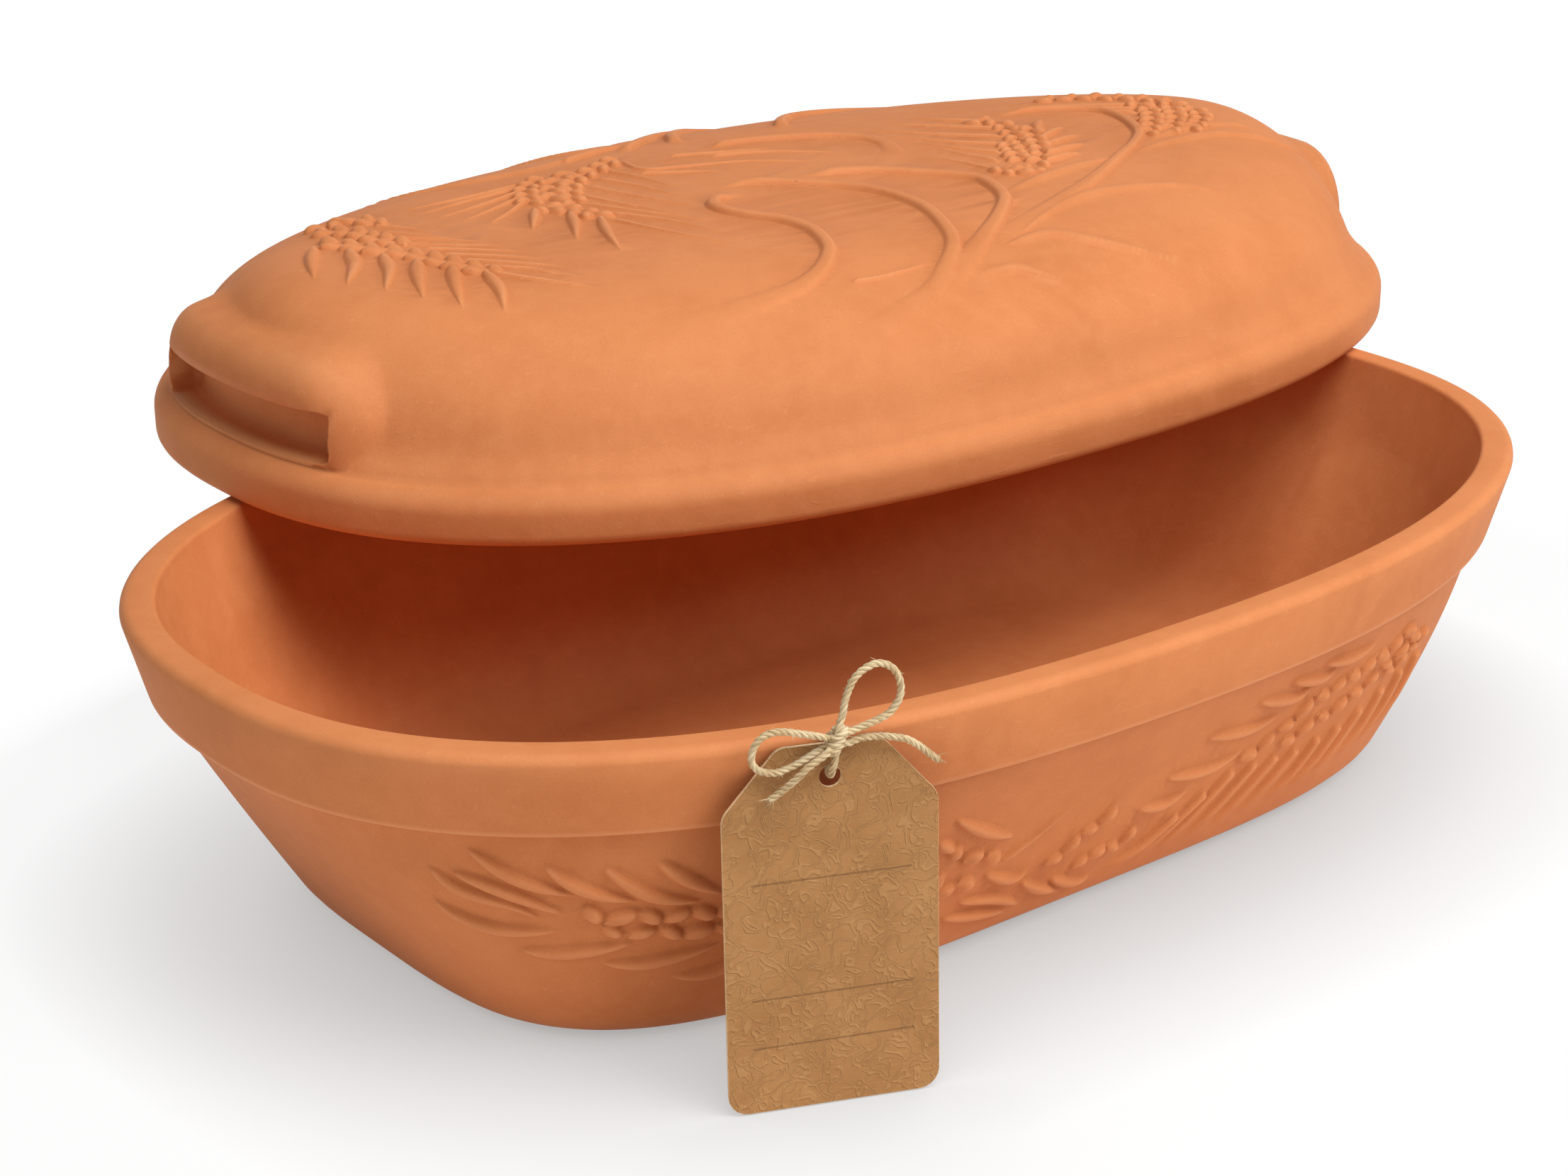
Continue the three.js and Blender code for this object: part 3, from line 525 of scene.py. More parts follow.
def make_knot(material):
    """Turns of twine wound round the middle of the bow."""
    turn = np.linspace(0, 2 * math.pi * KNOT_TURNS, round(KNOT_TURNS * KNOT_STEPS))
    rise = (turn / (2 * math.pi) - KNOT_TURNS / 2) * KNOT_PITCH
    right, above, front = KNOT_PLACE
    wraps = np.column_stack([
        right + KNOT_HALF_WIDTH * np.cos(turn) + KNOT_SLANT * rise,
        above + rise + KNOT_TILT * np.cos(turn),
        front - KNOT_HALF_DEPTH * np.sin(turn),
    ])
    bm = bmesh.new()
    twisted_twine(bm, on_tag(wraps))
    return finished_piece(bm, "bow_knot", "hang_tag", material, ["twine_knot"])


def make_twine(material):
    """The bow: one length of twine from tail to tail, with its loose fibres and its knot."""
    route = smooth_line(on_tag(TWINE_ROUTE), TWINE_STEP)
    bm = bmesh.new()
    twisted_twine(bm, route)
    along, side, other = carried_sides(route)
    for end, outward in ((0, -1), (-1, 1)):
        for _ in range(FRAY_FIBRES):
            spread = side[end] * rng.normal(0, FRAY_SPREAD) + other[end] * rng.normal(0, FRAY_SPREAD)
            start = route[end] + spread * FRAY_START - along[end] * outward * FRAY_SINK
            loose_fibre(bm, start, along[end] * outward + spread, rng.uniform(*FRAY_LENGTHS))
    for place in rng.integers(STRAY_END_GAP, len(route) - STRAY_END_GAP, STRAY_FIBRES):
        angle = rng.uniform(0, 2 * math.pi)
        away = side[place] * math.cos(angle) + other[place] * math.sin(angle)
        lean = along[place] * rng.uniform(-STRAY_LEAN, STRAY_LEAN)
        start = route[place] + away * TWINE_DIAMETER * STRAY_START
        loose_fibre(bm, start, away * STRAY_LIFT + lean, rng.uniform(*STRAY_LENGTHS))
    bow = finished_piece(bm, "bow_twine", "hang_tag", material, TWINE_STRETCHES)
    knot = make_knot(material)


make_twine(twine_material())


def make_tag(material):
    """A card with cut top corners, a punched hole and a paler cut edge."""
    half = TAG_WIDTH / 2
    corners = [
        (-half, 0, TAG_CORNER), (half, 0, TAG_CORNER),
        (half, TAG_LENGTH - TAG_CUT, TAG_CUT_CORNER), (TAG_TOP_EDGE / 2, TAG_LENGTH, TAG_CUT_CORNER),
        (-TAG_TOP_EDGE / 2, TAG_LENGTH, TAG_CUT_CORNER), (-half, TAG_LENGTH - TAG_CUT, TAG_CUT_CORNER),
    ]
    bm = bmesh.new()
    verts = [bm.verts.new((x, 0, z)) for x, z, _ in corners]
    bm.faces.new(verts)
    for vert, (_, _, rounding) in zip(verts, corners):
        round_off(bm, [vert], rounding, segments=5, affect="VERTICES")
    bmesh.ops.delete(bm, geom=list(bm.faces), context="FACES_ONLY")
    outline = list(bm.edges)
    hole = bmesh.ops.create_circle(bm, segments=TAG_HOLE_SIDES, radius=TAG_HOLE_RADIUS)["verts"]
    upright = Matrix.Translation((0, 0, TAG_LENGTH - TAG_HOLE_DROP)) @ Matrix.Rotation(math.pi / 2, 4, "X")
    bmesh.ops.transform(bm, matrix=upright, verts=hole)
    card_edges = outline + edges_of_verts(hole)
    bmesh.ops.triangle_fill(bm, edges=card_edges, use_beauty=True, normal=(0, -1, 0))
    grown = bmesh.ops.extrude_face_region(bm, geom=list(bm.faces), use_keep_orig=True)["geom"]
    back = [item for item in grown if isinstance(item, bmesh.types.BMVert)]
    bmesh.ops.translate(bm, vec=(0, TAG_THICKNESS, 0), verts=back)
    bmesh.ops.recalc_face_normals(bm, faces=bm.faces)
    rims = [edge for edge in bm.edges if edge.is_manifold and edge.calc_face_angle() > SHARP_ANGLE]
    round_off(bm, rims, TAG_EDGE_ROUND, segments=2)
    edge_share = bm.verts.layers.float.new("cut_edge")
    uv = bm.loops.layers.uv.verify()
    for vert in bm.verts:
        vert[edge_share] = float(TAG_SKIN < vert.co.y < TAG_THICKNESS - TAG_SKIN)
        for loop in vert.link_loops:
            loop[uv].uv = (vert.co.x * MM, vert.co.z * MM)
    bmesh.ops.transform(bm, matrix=TAG_PLACE, verts=bm.verts)
    finished_piece(bm, "tag_card", "hang_tag", material, ["hang_tag"], smooth=False)


make_tag(card_material())

# Bowl and lid sizes, as in the CAD part

RIM_A = 190
RIM_B = 120
RIM_POWER = 2.4
BOWL_HEIGHT = 84
RIM_LAND = 7
RIM_ROUND = 2.5
RIM_INNER_ROUND = 1.2
BAND_DRAFT = 4.5
WALL_TOP = 62.5
WALL_TOP_INSET = 8
FOOT_A = 143
FOOT_B = 80
FOOT_POWER = 3.8
FOOT_ROUND = 6
BOWL_WALL = 7
BOWL_FLOOR = 9
FLOOR_ROUND = 12

LID_PLACE = (63, 101, 84.3)
LID_HEIGHT = 51
LID_LAND = 7
LID_BAND_HEIGHT = 15
LID_BAND_ROUND = 3
LID_BAND_SHOULDER = 7
DOME_INSET = 8
RIDGE_A = 145
DOME_END_POWER = 0.55
DOME_SIDE_POWER = 0.45
LID_WALL = 7
GRIP_INSET = 4
POCKET_HALF = 40
POCKET_FLOOR = 15.5
POCKET_TOP = 28.5
POCKET_DEPTH = 8.5
POCKET_WALL = 7
POCKET_CORNER = 3
POCKET_FILLET = 3
POCKET_EDGE = 0.45
POCKET_MARGIN = 5
POCKET_MIDDLE = (POCKET_FLOOR + POCKET_TOP) / 2
POCKET_HALF_UP = (POCKET_TOP - POCKET_FLOOR) / 2

# Mesh spacing of the clay
RING_POINTS = 360
OVAL_SAMPLES = 8 * RING_POINTS + 1
ANGLE_SAMPLES = 4000
WALL_STEP = 2.2
DOME_RINGS = 62
VAULT_RINGS = 12
ROUND_STEPS = 5
CROWDING = 2
CROWDED_SPAN = 0.014
# Under the relief the mesh is cut finer, and finer still under its small forms
COARSE_REACH = 0.9
COARSE_CUTS = 1
FINE_REACH = 0.25
FINE_CUTS = 2
TRIANGLE_LIMIT = 185000
MERGE_GAP = 0.001


def oval_ring(a, b, power, z, shares):
    """Points at those shares of an oval's length."""
    turn = np.linspace(0, 2 * math.pi, OVAL_SAMPLES)
    cos, sin = np.cos(turn), np.sin(turn)
    x = a * np.sign(cos) * np.abs(cos) ** (2 / power)
    y = b * np.sign(sin) * np.abs(sin) ** (2 / power)
    flat = points_along(np.stack([x, y], axis=1), shares)
    return np.column_stack([flat, np.full(len(flat), z)])


def ring_shares(crowded_at=()):
    """Shares of a ring's length for its points, closer together near some of them."""
    even = np.linspace(0, 1, OVAL_SAMPLES)
    density = np.ones(len(even))
    for place in crowded_at:
        apart = (even - place + 0.5) % 1 - 0.5
        density += CROWDING * np.exp(-((apart / CROWDED_SPAN) ** 2))
    run = np.concatenate([[0], np.cumsum((density[1:] + density[:-1]) / 2)])
    return np.interp(np.linspace(0, 1, RING_POINTS, endpoint=False), run / run[-1], even)


def rim_oval(inset, z):
    return RIM_A - inset, RIM_B - inset, RIM_POWER, z


def wall_oval(z, inset):
    """The bowl's wall at that height, drawn in by an inset."""
    rise = z / WALL_TOP
    a = FOOT_A + (RIM_A - WALL_TOP_INSET - FOOT_A) * rise
    b = FOOT_B + (RIM_B - WALL_TOP_INSET - FOOT_B) * rise
    return a - inset, b - inset, FOOT_POWER + (RIM_POWER - FOOT_POWER) * rise, z


def shrunk(oval, share):
    a, b, power, z = oval
    return a * share, b * share, power, z


# The ledge under the rim band: inset and height, and the heights between which its edge gets a painted
# highlight, a pale line
BAND_EDGE = (
    (8, 62.6), (7.95, 62.95), (7.7, 63.2), (7.2, 63.3), (5.5, 63.42), (5.0, 63.5), (4.72, 63.66),
    (4.56, 63.9), (4.46, 64.25),
)
BAND_HIGHLIGHT = (63.55, 64.0)
BAND_FOOT = 64
WALL_END = WALL_TOP - 1

# Shares of the way across each surface at which the bowl's rings lie
SOLE_SHARES = (0.1, 0.5, 0.85, 0.97)
BAND_SHARES = np.linspace(0.06, 1, 7)
LAND_SHARES = (0.5, 0.9, 1)
THROAT_SHARES = np.linspace(0.1, 0.95, 5)
FLOOR_SHARES = (0.95, 0.8, 0.55, 0.3, 0.08)
LIP_STEPS = 4
INSIDE_RINGS = 8
FLOOR_STEPS = 7


def bowl_ovals():
    """Ovals from the middle of the foot up the outside, over the rim and down to the middle of the hollow."""
    foot = wall_oval(0, FOOT_ROUND)
    sole = [shrunk(foot, share) for share in SOLE_SHARES]
    foot_edge = [
        wall_oval(FOOT_ROUND * (1 - math.cos(t)), FOOT_ROUND * (1 - math.sin(t)))
        for t in quarter_turn(ROUND_STEPS)
    ]
    wall = [wall_oval(z, 0) for z in np.arange(FOOT_ROUND + WALL_STEP, WALL_END, WALL_STEP)]
    ledge = [rim_oval(inset, z) for inset, z in BAND_EDGE]
    band_top = BOWL_HEIGHT - RIM_ROUND
    band = [
        rim_oval(BAND_DRAFT * (1 - share), BAND_FOOT + (band_top - BAND_FOOT) * share)
        for share in BAND_SHARES
    ]
    rim = [
        rim_oval(RIM_ROUND * (1 - math.cos(t)), band_top + RIM_ROUND * math.sin(t))
        for t in quarter_turn(ROUND_STEPS)[1:]
    ]
    land = [rim_oval(share * (RIM_LAND - RIM_ROUND) + RIM_ROUND, BOWL_HEIGHT) for share in LAND_SHARES]
    lip_z = BOWL_HEIGHT - RIM_INNER_ROUND
    lip = [
        rim_oval(RIM_LAND + RIM_INNER_ROUND * math.sin(t), lip_z + RIM_INNER_ROUND * math.cos(t))
        for t in quarter_turn(LIP_STEPS)[1:]
    ]
    lip_inset = RIM_LAND + RIM_INNER_ROUND
    inner_inset = WALL_TOP_INSET + BOWL_WALL
    throat = [
        rim_oval(lip_inset + (inner_inset - lip_inset) * share, lip_z + (WALL_TOP - lip_z) * share)
        for share in THROAT_SHARES
    ]
    inside = [wall_oval(z, BOWL_WALL) for z in np.linspace(WALL_TOP, BOWL_FLOOR + FLOOR_ROUND, INSIDE_RINGS)]
    floor_edge = [
        wall_oval(BOWL_FLOOR + FLOOR_ROUND * (1 - math.sin(t)), BOWL_WALL + FLOOR_ROUND * (1 - math.cos(t)))
        for t in quarter_turn(FLOOR_STEPS)[1:]
    ]
    floor = [shrunk(floor_edge[-1], share) for share in FLOOR_SHARES]
    outside = [*sole, *foot_edge, *wall, *ledge, *band, *rim, *land]
    return [*outside, *lip, *throat, *inside, *floor_edge, *floor]


def dome_ovals(inset, foot_z, top_z, ridge_a, angles):
    """Ovals of a dome that narrows to a level ridge: half length, half width, power and height."""
    ovals = []
    for angle in angles:
        spread = max(0, math.cos(angle))
        rise = math.sin(angle)
        ovals.append((
            ridge_a + (RIM_A - inset - ridge_a) * spread**DOME_END_POWER,
            (RIM_B - inset) * spread**DOME_SIDE_POWER,
            RIM_POWER + (2 - RIM_POWER) * rise,
            foot_z + (top_z - foot_z) * rise,
        ))
    return ovals


def even_dome_angles(inset, foot_z, top_z, count):
    """Angles from the ridge down to the foot, whose ovals are evenly spaced across the dome."""
    angles = np.linspace(math.pi / 2, 0, ANGLE_SAMPLES)
    ovals = np.array(dome_ovals(inset, foot_z, top_z, RIDGE_A, angles))
    run = run_length(ovals[:, [1, 3]])
    return np.interp(np.linspace(0, run[-1], count), run, angles)


# The dome's foot swells out to meet the shoulder of the band
DOME_FILLET = 3.4
DOME_FILLET_HEIGHT = 8
SHOULDER_END = math.radians(64)
SHOULDER_RINGS = 8
# Heights of rings on the lid's band, insets of those on its land, and rings on the lip of its hollow:
# how far past the land's inner edge, and height
LID_BAND_LEVELS = (6.5, 5, 3.8)
LID_LAND_INSETS = (4.5, 8.6)
LID_LIP = ((-0.5, 0.15), (0.1, 0.6), (1.2, 2.4))

# Grips: the shares of a ring's length at which their flanks lie, and their outline as seen from the end
GRIP_FLANKS = (0.053, 0.447, 0.553, 0.947)
GRIP_HALF = 49
GRIP_TOP = 40.5
GRIP_CORNER = 22
GRIP_ROUND = 10
GRIP_STEEPNESS = 5
GRIP_BLEND = 6
GRIP_FOOT_BLEND = 0.5
GRIP_BLEND_RISE = (16, 27)
GRIP_LIMIT = 49.5
GRIP_COLUMNS_END = (46, 62)
GRIP_ROWS_END = (31, 41)
# Where the hollow is drawn in behind each pocket
HOUSING_HALF = 47
HOUSING_TOP = 35.5
HOUSING_FADE = 12
HOUSING_FLARE = 30
HOUSING_BLEND = 3
HOUSING_ABOVE = 4


def lid_rings():
    """Rings of points from the ridge down the outside, round the band and up inside to the hollow's ridge,
    the ovals they follow, how many are on the dome, and which is the first inside the hollow."""
    angles = even_dome_angles(DOME_INSET, LID_BAND_HEIGHT, LID_HEIGHT, DOME_RINGS)
    for height in (POCKET_FLOOR, POCKET_TOP):
        angle = math.asin((height - LID_BAND_HEIGHT) / (LID_HEIGHT - LID_BAND_HEIGHT))
        angles[np.argmin(np.abs(angles - angle))] = angle
    dome = []
    for a, b, power, z in dome_ovals(DOME_INSET, LID_BAND_HEIGHT, LID_HEIGHT, RIDGE_A, angles):
        swell = DOME_FILLET * max(0, 1 - (z - LID_BAND_HEIGHT) / DOME_FILLET_HEIGHT) ** 2
        dome.append((a + swell, b + swell, power, z))
    shoulder = [
        rim_oval(DOME_INSET * (1 - math.cos(t)), LID_BAND_HEIGHT - LID_BAND_SHOULDER * (1 - math.sin(t)))
        for t in np.linspace(SHOULDER_END, 0, SHOULDER_RINGS)
    ]
    band = [rim_oval(0, z) for z in LID_BAND_LEVELS]
    lower_edge = [
        rim_oval(LID_BAND_ROUND * (1 - math.cos(t)), LID_BAND_ROUND * (1 - math.sin(t)))
        for t in quarter_turn(ROUND_STEPS)
    ]
    land = [rim_oval(inset, 0) for inset in LID_LAND_INSETS]
    lip = [rim_oval(LID_BAND_ROUND + LID_LAND + past, z) for past, z in LID_LIP]
    inset = DOME_INSET + LID_WALL
    spring_z = LID_BAND_HEIGHT - LID_BAND_SHOULDER
    vault_z = LID_HEIGHT - LID_WALL
    vault_angles = even_dome_angles(inset, spring_z, vault_z, VAULT_RINGS)[::-1]
    vault = dome_ovals(inset, spring_z, vault_z, RIDGE_A - LID_WALL / 2, vault_angles)
    outside = [*dome, *shoulder, *band, *lower_edge, *land, *lip]
    ovals = [*outside, *vault]
    shares = ring_shares(GRIP_FLANKS)
    rings = np.array([oval_ring(*oval, shares) for oval in ovals])
    return rings, np.array([oval[:3] for oval in ovals]), len(dome), len(outside)


def smooth_max(first, second, softness):
    """The larger of two, with a round blend where they are nearly equal."""
    share = np.clip(0.5 + 0.5 * (second - first) / softness, 0, 1)
    return first + (second - first) * share + softness * share * (1 - share)


def smooth_rise(value, low, high):
    share = np.clip((value - low) / (high - low), 0, 1)
    return share * share * (3 - 2 * share)


def oval_reach(a, b, power, y):
    return a * np.clip(1 - (np.abs(y) / b) ** power, 0, None) ** (1 / power)


def outline_gap(across, up, half, half_up, corner):
    """How far outside a rounded rectangle a point lies, or inside it if less than 0."""
    across = np.abs(across) - (half - corner)
    up = np.abs(up) - (half_up - corner)
    outside = np.hypot(np.clip(across, 0, None), np.clip(up, 0, None))
    return outside + np.minimum(np.maximum(across, up), 0) - corner


def quarter_round(distance, radius):
    """How far a rounded edge has fallen at a distance along it."""
    distance = np.clip(distance, 0, radius)
    return radius - np.sqrt(radius**2 - distance**2)


def raise_grips(rings, ovals, dome_count, vault_start):
    """Draws the ends of the dome out into the grips, and the hollow in behind their pockets."""
    floor_ring = rings[np.argmin(np.abs(rings[:dome_count, 0, 2] - POCKET_FLOOR))]
    columns = floor_ring[:, 1].copy()
    for end in (1, -1):
        at_end = np.sign(floor_ring[:, 0]) == end
        for side in (POCKET_HALF, -POCKET_HALF):
            columns[np.argmin(np.where(at_end, np.abs(columns - side), np.inf))] = side
    lined_up = 1 - smooth_rise(np.abs(columns), *GRIP_COLUMNS_END)
    for number in range(dome_count):
        a, b, power = ovals[number]
        x, y, z = rings[number].T
        held = lined_up * (1 - smooth_rise(z, *GRIP_ROWS_END))
        y = y + (columns - y) * held
        dome_x = np.where(held > 0, oval_reach(a, b, power, y), np.abs(x))
        past = outline_gap(y, z, GRIP_HALF, GRIP_TOP, GRIP_CORNER)
        fall = quarter_round(past + GRIP_ROUND, GRIP_ROUND) + GRIP_STEEPNESS * np.clip(past, 0, None)
        pad_x = oval_reach(RIM_A - GRIP_INSET, RIM_B - GRIP_INSET, RIM_POWER, y) - fall
        at_end = (dome_x > RIDGE_A / 2) & (z < GRIP_LIMIT)
        blend = GRIP_FOOT_BLEND + (GRIP_BLEND - GRIP_FOOT_BLEND) * smooth_rise(z, *GRIP_BLEND_RISE)
        rings[number, :, 0] = np.sign(x) * np.where(at_end, smooth_max(dome_x, pad_x, blend), dome_x)
        rings[number, :, 1] = y
    inset = GRIP_INSET + POCKET_DEPTH + POCKET_WALL
    for number in range(vault_start, len(rings)):
        x, y, z = rings[number].T
        away = np.hypot(np.clip(np.abs(y) - HOUSING_HALF, 0, None), np.clip(z - HOUSING_TOP, 0, None))
        limit = oval_reach(RIM_A - inset, RIM_B - inset, RIM_POWER, y)
        limit = limit + HOUSING_FLARE * np.clip(away / HOUSING_FADE, 0, 1) ** 2
        drawn_in = -smooth_max(-np.abs(x), -limit, HOUSING_BLEND)
        rings[number, :, 0] = np.where(z > HOUSING_ABOVE, np.sign(x) * drawn_in, x)


def pocket_window(bm, end, margin):
    """The outward faces of the grip at one end, inside the pocket's outline widened by a margin."""

    def inside(vert):
        x, y, z = vert.co
        close = x * end > RIDGE_A and abs(y) < POCKET_HALF + margin
        return close and abs(z - POCKET_MIDDLE) < POCKET_HALF_UP + margin

    bm.normal_update()
    outward = [face for face in bm.faces if face.normal.x * end > 0]
    return [face for face in outward if all(inside(vert) for vert in face.verts)]


def round_pocket_corner(vert):
    """Brings a vertex in a corner of the pocket's outline onto a round corner."""
    y, z = vert.co.y, vert.co.z - POCKET_MIDDLE
    corner = Vector((abs(y) - POCKET_HALF + POCKET_CORNER, abs(z) - POCKET_HALF_UP + POCKET_CORNER))
    if min(corner) > 0:
        corner.length = max(corner)
        vert.co.y = math.copysign(POCKET_HALF - POCKET_CORNER + corner.x, y)
        vert.co.z = POCKET_MIDDLE + math.copysign(POCKET_HALF_UP - POCKET_CORNER + corner.y, z)


def cut_pocket(bm, end):
    """Sinks a finger pocket into the grip at one end, with a fillet round its back."""
    edges = edges_of_faces(pocket_window(bm, end, POCKET_MARGIN))
    bmesh.ops.subdivide_edges(bm, edges=edges, cuts=1, use_grid_fill=True)
    window = pocket_window(bm, end, MERGE_GAP)
    in_window = set(window)
    mouth = [
        edge for edge in edges_of_faces(window) if sum(face in in_window for face in edge.link_faces) == 1
    ]
    mouth_verts = {vert for edge in mouth for vert in edge.verts}
    grown = bmesh.ops.extrude_face_region(bm, geom=window)["geom"]
    sunk = [item for item in grown if isinstance(item, bmesh.types.BMVert)]
    bmesh.ops.delete(bm, geom=[face for face in window if face.is_valid], context="FACES_ONLY")
    for vert in {*mouth_verts, *sunk}:
        round_pocket_corner(vert)
    inset = GRIP_INSET + POCKET_DEPTH
    for vert in sunk:
        y, z = vert.co.y, vert.co.z - POCKET_MIDDLE
        gap = outline_gap(y, z, POCKET_HALF, POCKET_HALF_UP, POCKET_CORNER)
        back = oval_reach(RIM_A - inset, RIM_B - inset, RIM_POWER, y)
        vert.co.x = end * (back + quarter_round(gap + POCKET_FILLET, POCKET_FILLET))
    round_off(bm, mouth, POCKET_EDGE, segments=3, clamp_overlap=True)


# Relief


def leaf_width(t):
    return np.sin(math.pi * t**0.85) ** 0.65


def leaf_height(t):
    return np.sin(math.pi * t**0.85) ** 0.6


# How the width and the height of a raised line change with the share t of its length, and how square it is
# across
FORMS = {
    "stem": (
        lambda t: 1 + 0.8 * smooth_rise(t, 0.45, 1),
        lambda t: smooth_rise(t, -0.02, 0.06) * (1 - t**4),
        3,
    ),
    "fading_stem": (
        lambda t: 1 + 1.1 * smooth_rise(t, 0.4, 1),
        lambda t: smooth_rise(t, -0.02, 0.06) * (1 - smooth_rise(t, 0.35, 1)),
        3,
    ),
    "leaf": (leaf_width, leaf_height, 2),
    "blade": (leaf_width, leaf_height, 2.2),
    "awn": (lambda t: 1 - 0.6 * t, lambda t: smooth_rise(t, -0.01, 0.08) * (1 - t) ** 0.5, 2),
    "spike": (
        lambda t: smooth_rise(t, -0.35, 0.3) * (1 - t**2.2) ** 0.8,
        lambda t: smooth_rise(t, -0.5, 0.2) * (1 - t**3),
        2.4,
    ),
    "kernel": (
        lambda t: np.sin(math.pi * t**0.8) ** 0.45,
        lambda t: (0.45 + 0.55 * smooth_rise(t, 0, 0.6)) * (1 - t**7),
        2.6,
    ),
}
# Forms with edges too sharp for the coarse cut
FINE_FORMS = ("stem", "fading_stem", "blade", "awn", "spike", "kernel")
FOOT_SOFTNESS = 1.2
RIDGE_STEP = 1.2
LEAST_HALF_WIDTH = 0.15
ROW_STEP = 1
ROW_HEADING_SHARE = 0.02
KERNEL_SIZES = (0.88, 1.12)
FAN_BENDS = (-0.03, 0.06)
FAN_WIDTHS = (0.85, 1.15)


def nearest_on(line, points):
    """How far each point is from the line, and where the nearest place is, counted in the line's points."""
    start, span = line[:-1], np.diff(line, axis=0)
    offset = points[:, None] - start
    t = np.clip((offset * span).sum(axis=2) / (span**2).sum(axis=1), 0, 1)
    gaps = np.linalg.norm(offset - t[..., None] * span, axis=2)
    nearest = gaps.argmin(axis=1)
    every = np.arange(len(points))
    return gaps[every, nearest], nearest + t[every, nearest]


class Relief:
    """Raised stems, awns, blades and kernels on a surface. Each is a line with a width and a height."""

    def __init__(self, bm, cast):
        self.surface = BVHTree.FromBMesh(bm)
        self.cast = cast
        self.ridges = []

    def settled(self, points, turned):
        """Points of the drawing put on the surface, or on its other side turned half round."""
        placed = []
        for point in points:
            start, direction = self.cast(point)
            if turned:
                start = Vector((-start.x, -start.y, start.z))
                direction = Vector((-direction.x, -direction.y, direction.z))
            hit = self.surface.ray_cast(start, direction)[0]
            if hit is not None:
                placed.append(hit)
        return np.array(placed)

    def ridge(self, points, form, width, height, turned=False):
        """One raised line through the points of the drawing."""
        line = self.settled(smooth_line(points, RIDGE_STEP), turned)
        if len(line) < 2:
            return
        run = run_length(line)
        share = np.clip(run / run[-1], 0, 1)
        widths, heights, squareness = FORMS[form]
        halves = np.maximum(LEAST_HALF_WIDTH, width / 2 * widths(share))
        self.ridges.append((form, line, halves, height * heights(share), squareness))

    def row(self, points, count, length, width, height, tilt, spread, turned=False):
        """Kernels along a line, set off it and leaning to one side and the other in turn."""
        line = smooth_line(points, ROW_STEP)
        shares = (np.arange(count) + 0.5) / count
        middles = points_along(line, shares)
        before = points_along(line, np.maximum(shares - ROW_HEADING_SHARE, 0))
        after = points_along(line, np.minimum(shares + ROW_HEADING_SHARE, 1))
        for number, (middle, direction) in enumerate(zip(middles, after - before)):
            side = 1 if number % 2 else -1
            heading = math.atan2(direction[1], direction[0])
            middle = middle + np.array([-math.sin(heading), math.cos(heading)]) * side * spread
            angle = heading + tilt * side
            size = rng.uniform(*KERNEL_SIZES)
            half = np.array([math.cos(angle), math.sin(angle)]) * length * size / 2
            kernel = [middle - half, middle, middle + half]
            self.ridge(kernel, "kernel", width * size, height * size, turned)

    def fan(self, starts, ends, count, form, width, height, turned=False):
        """Lines spread between two lines."""
        shares = np.linspace(0, 1, count)
        for start, end in zip(points_along(starts, shares), points_along(ends, shares)):
            across = np.array([start[1] - end[1], end[0] - start[0]])
            middle = (start + end) / 2 + across * rng.uniform(*FAN_BENDS)
            self.ridge([start, middle, end], form, width * rng.uniform(*FAN_WIDTHS), height, turned)

    def heights(self, points, grow=0.0, forms=FORMS):
        """The height of the relief over each point, or with grow, more than 0 near any of it."""
        lift = np.zeros(len(points))
        for form, line, halves, tops, squareness in self.ridges:
            if form not in forms:
                continue
            reach = halves.max() + grow
            low, high = line.min(axis=0) - reach, line.max(axis=0) + reach
            near = np.flatnonzero(np.all((points > low) & (points < high), axis=1))
            if not len(near):
                continue
            gaps, places = nearest_on(line, points[near])
            half = np.interp(places, np.arange(len(line)), halves) + grow
            top = np.interp(places, np.arange(len(line)), tops)
            across = np.clip(1 - (gaps / half) ** squareness, 0, None)
            lift[near] = np.maximum(lift[near], top * across**FOOT_SOFTNESS)
        return lift


def vert_points(bm):
    return np.array([vert.co for vert in bm.verts])


def carve(bm, relief):
    """Refines the mesh under the relief, and raises it along its normals."""
    for reach, cuts, forms in ((COARSE_REACH, COARSE_CUTS, FORMS), (FINE_REACH, FINE_CUTS, FINE_FORMS)):
        near = relief.heights(vert_points(bm), reach, forms) > 0
        bm.verts.index_update()
        marked = [face for face in bm.faces if any(near[vert.index] for vert in face.verts)]
        bmesh.ops.subdivide_edges(bm, edges=edges_of_faces(marked), cuts=cuts, use_grid_fill=True)
    bm.normal_update()
    points = vert_points(bm)
    normals = np.array([vert.normal for vert in bm.verts])
    points = points + normals * relief.heights(points)[:, None]
    for vert, point in zip(bm.verts, points):
        vert.co = point


# The bend at which the paler wear and the painted shade begin, and how much more of it makes them full
BEND_LEAST = 0.02
BEND_RANGE = 0.1
BEND_SMOOTHING = 3
LEAST_SPACING = 0.1


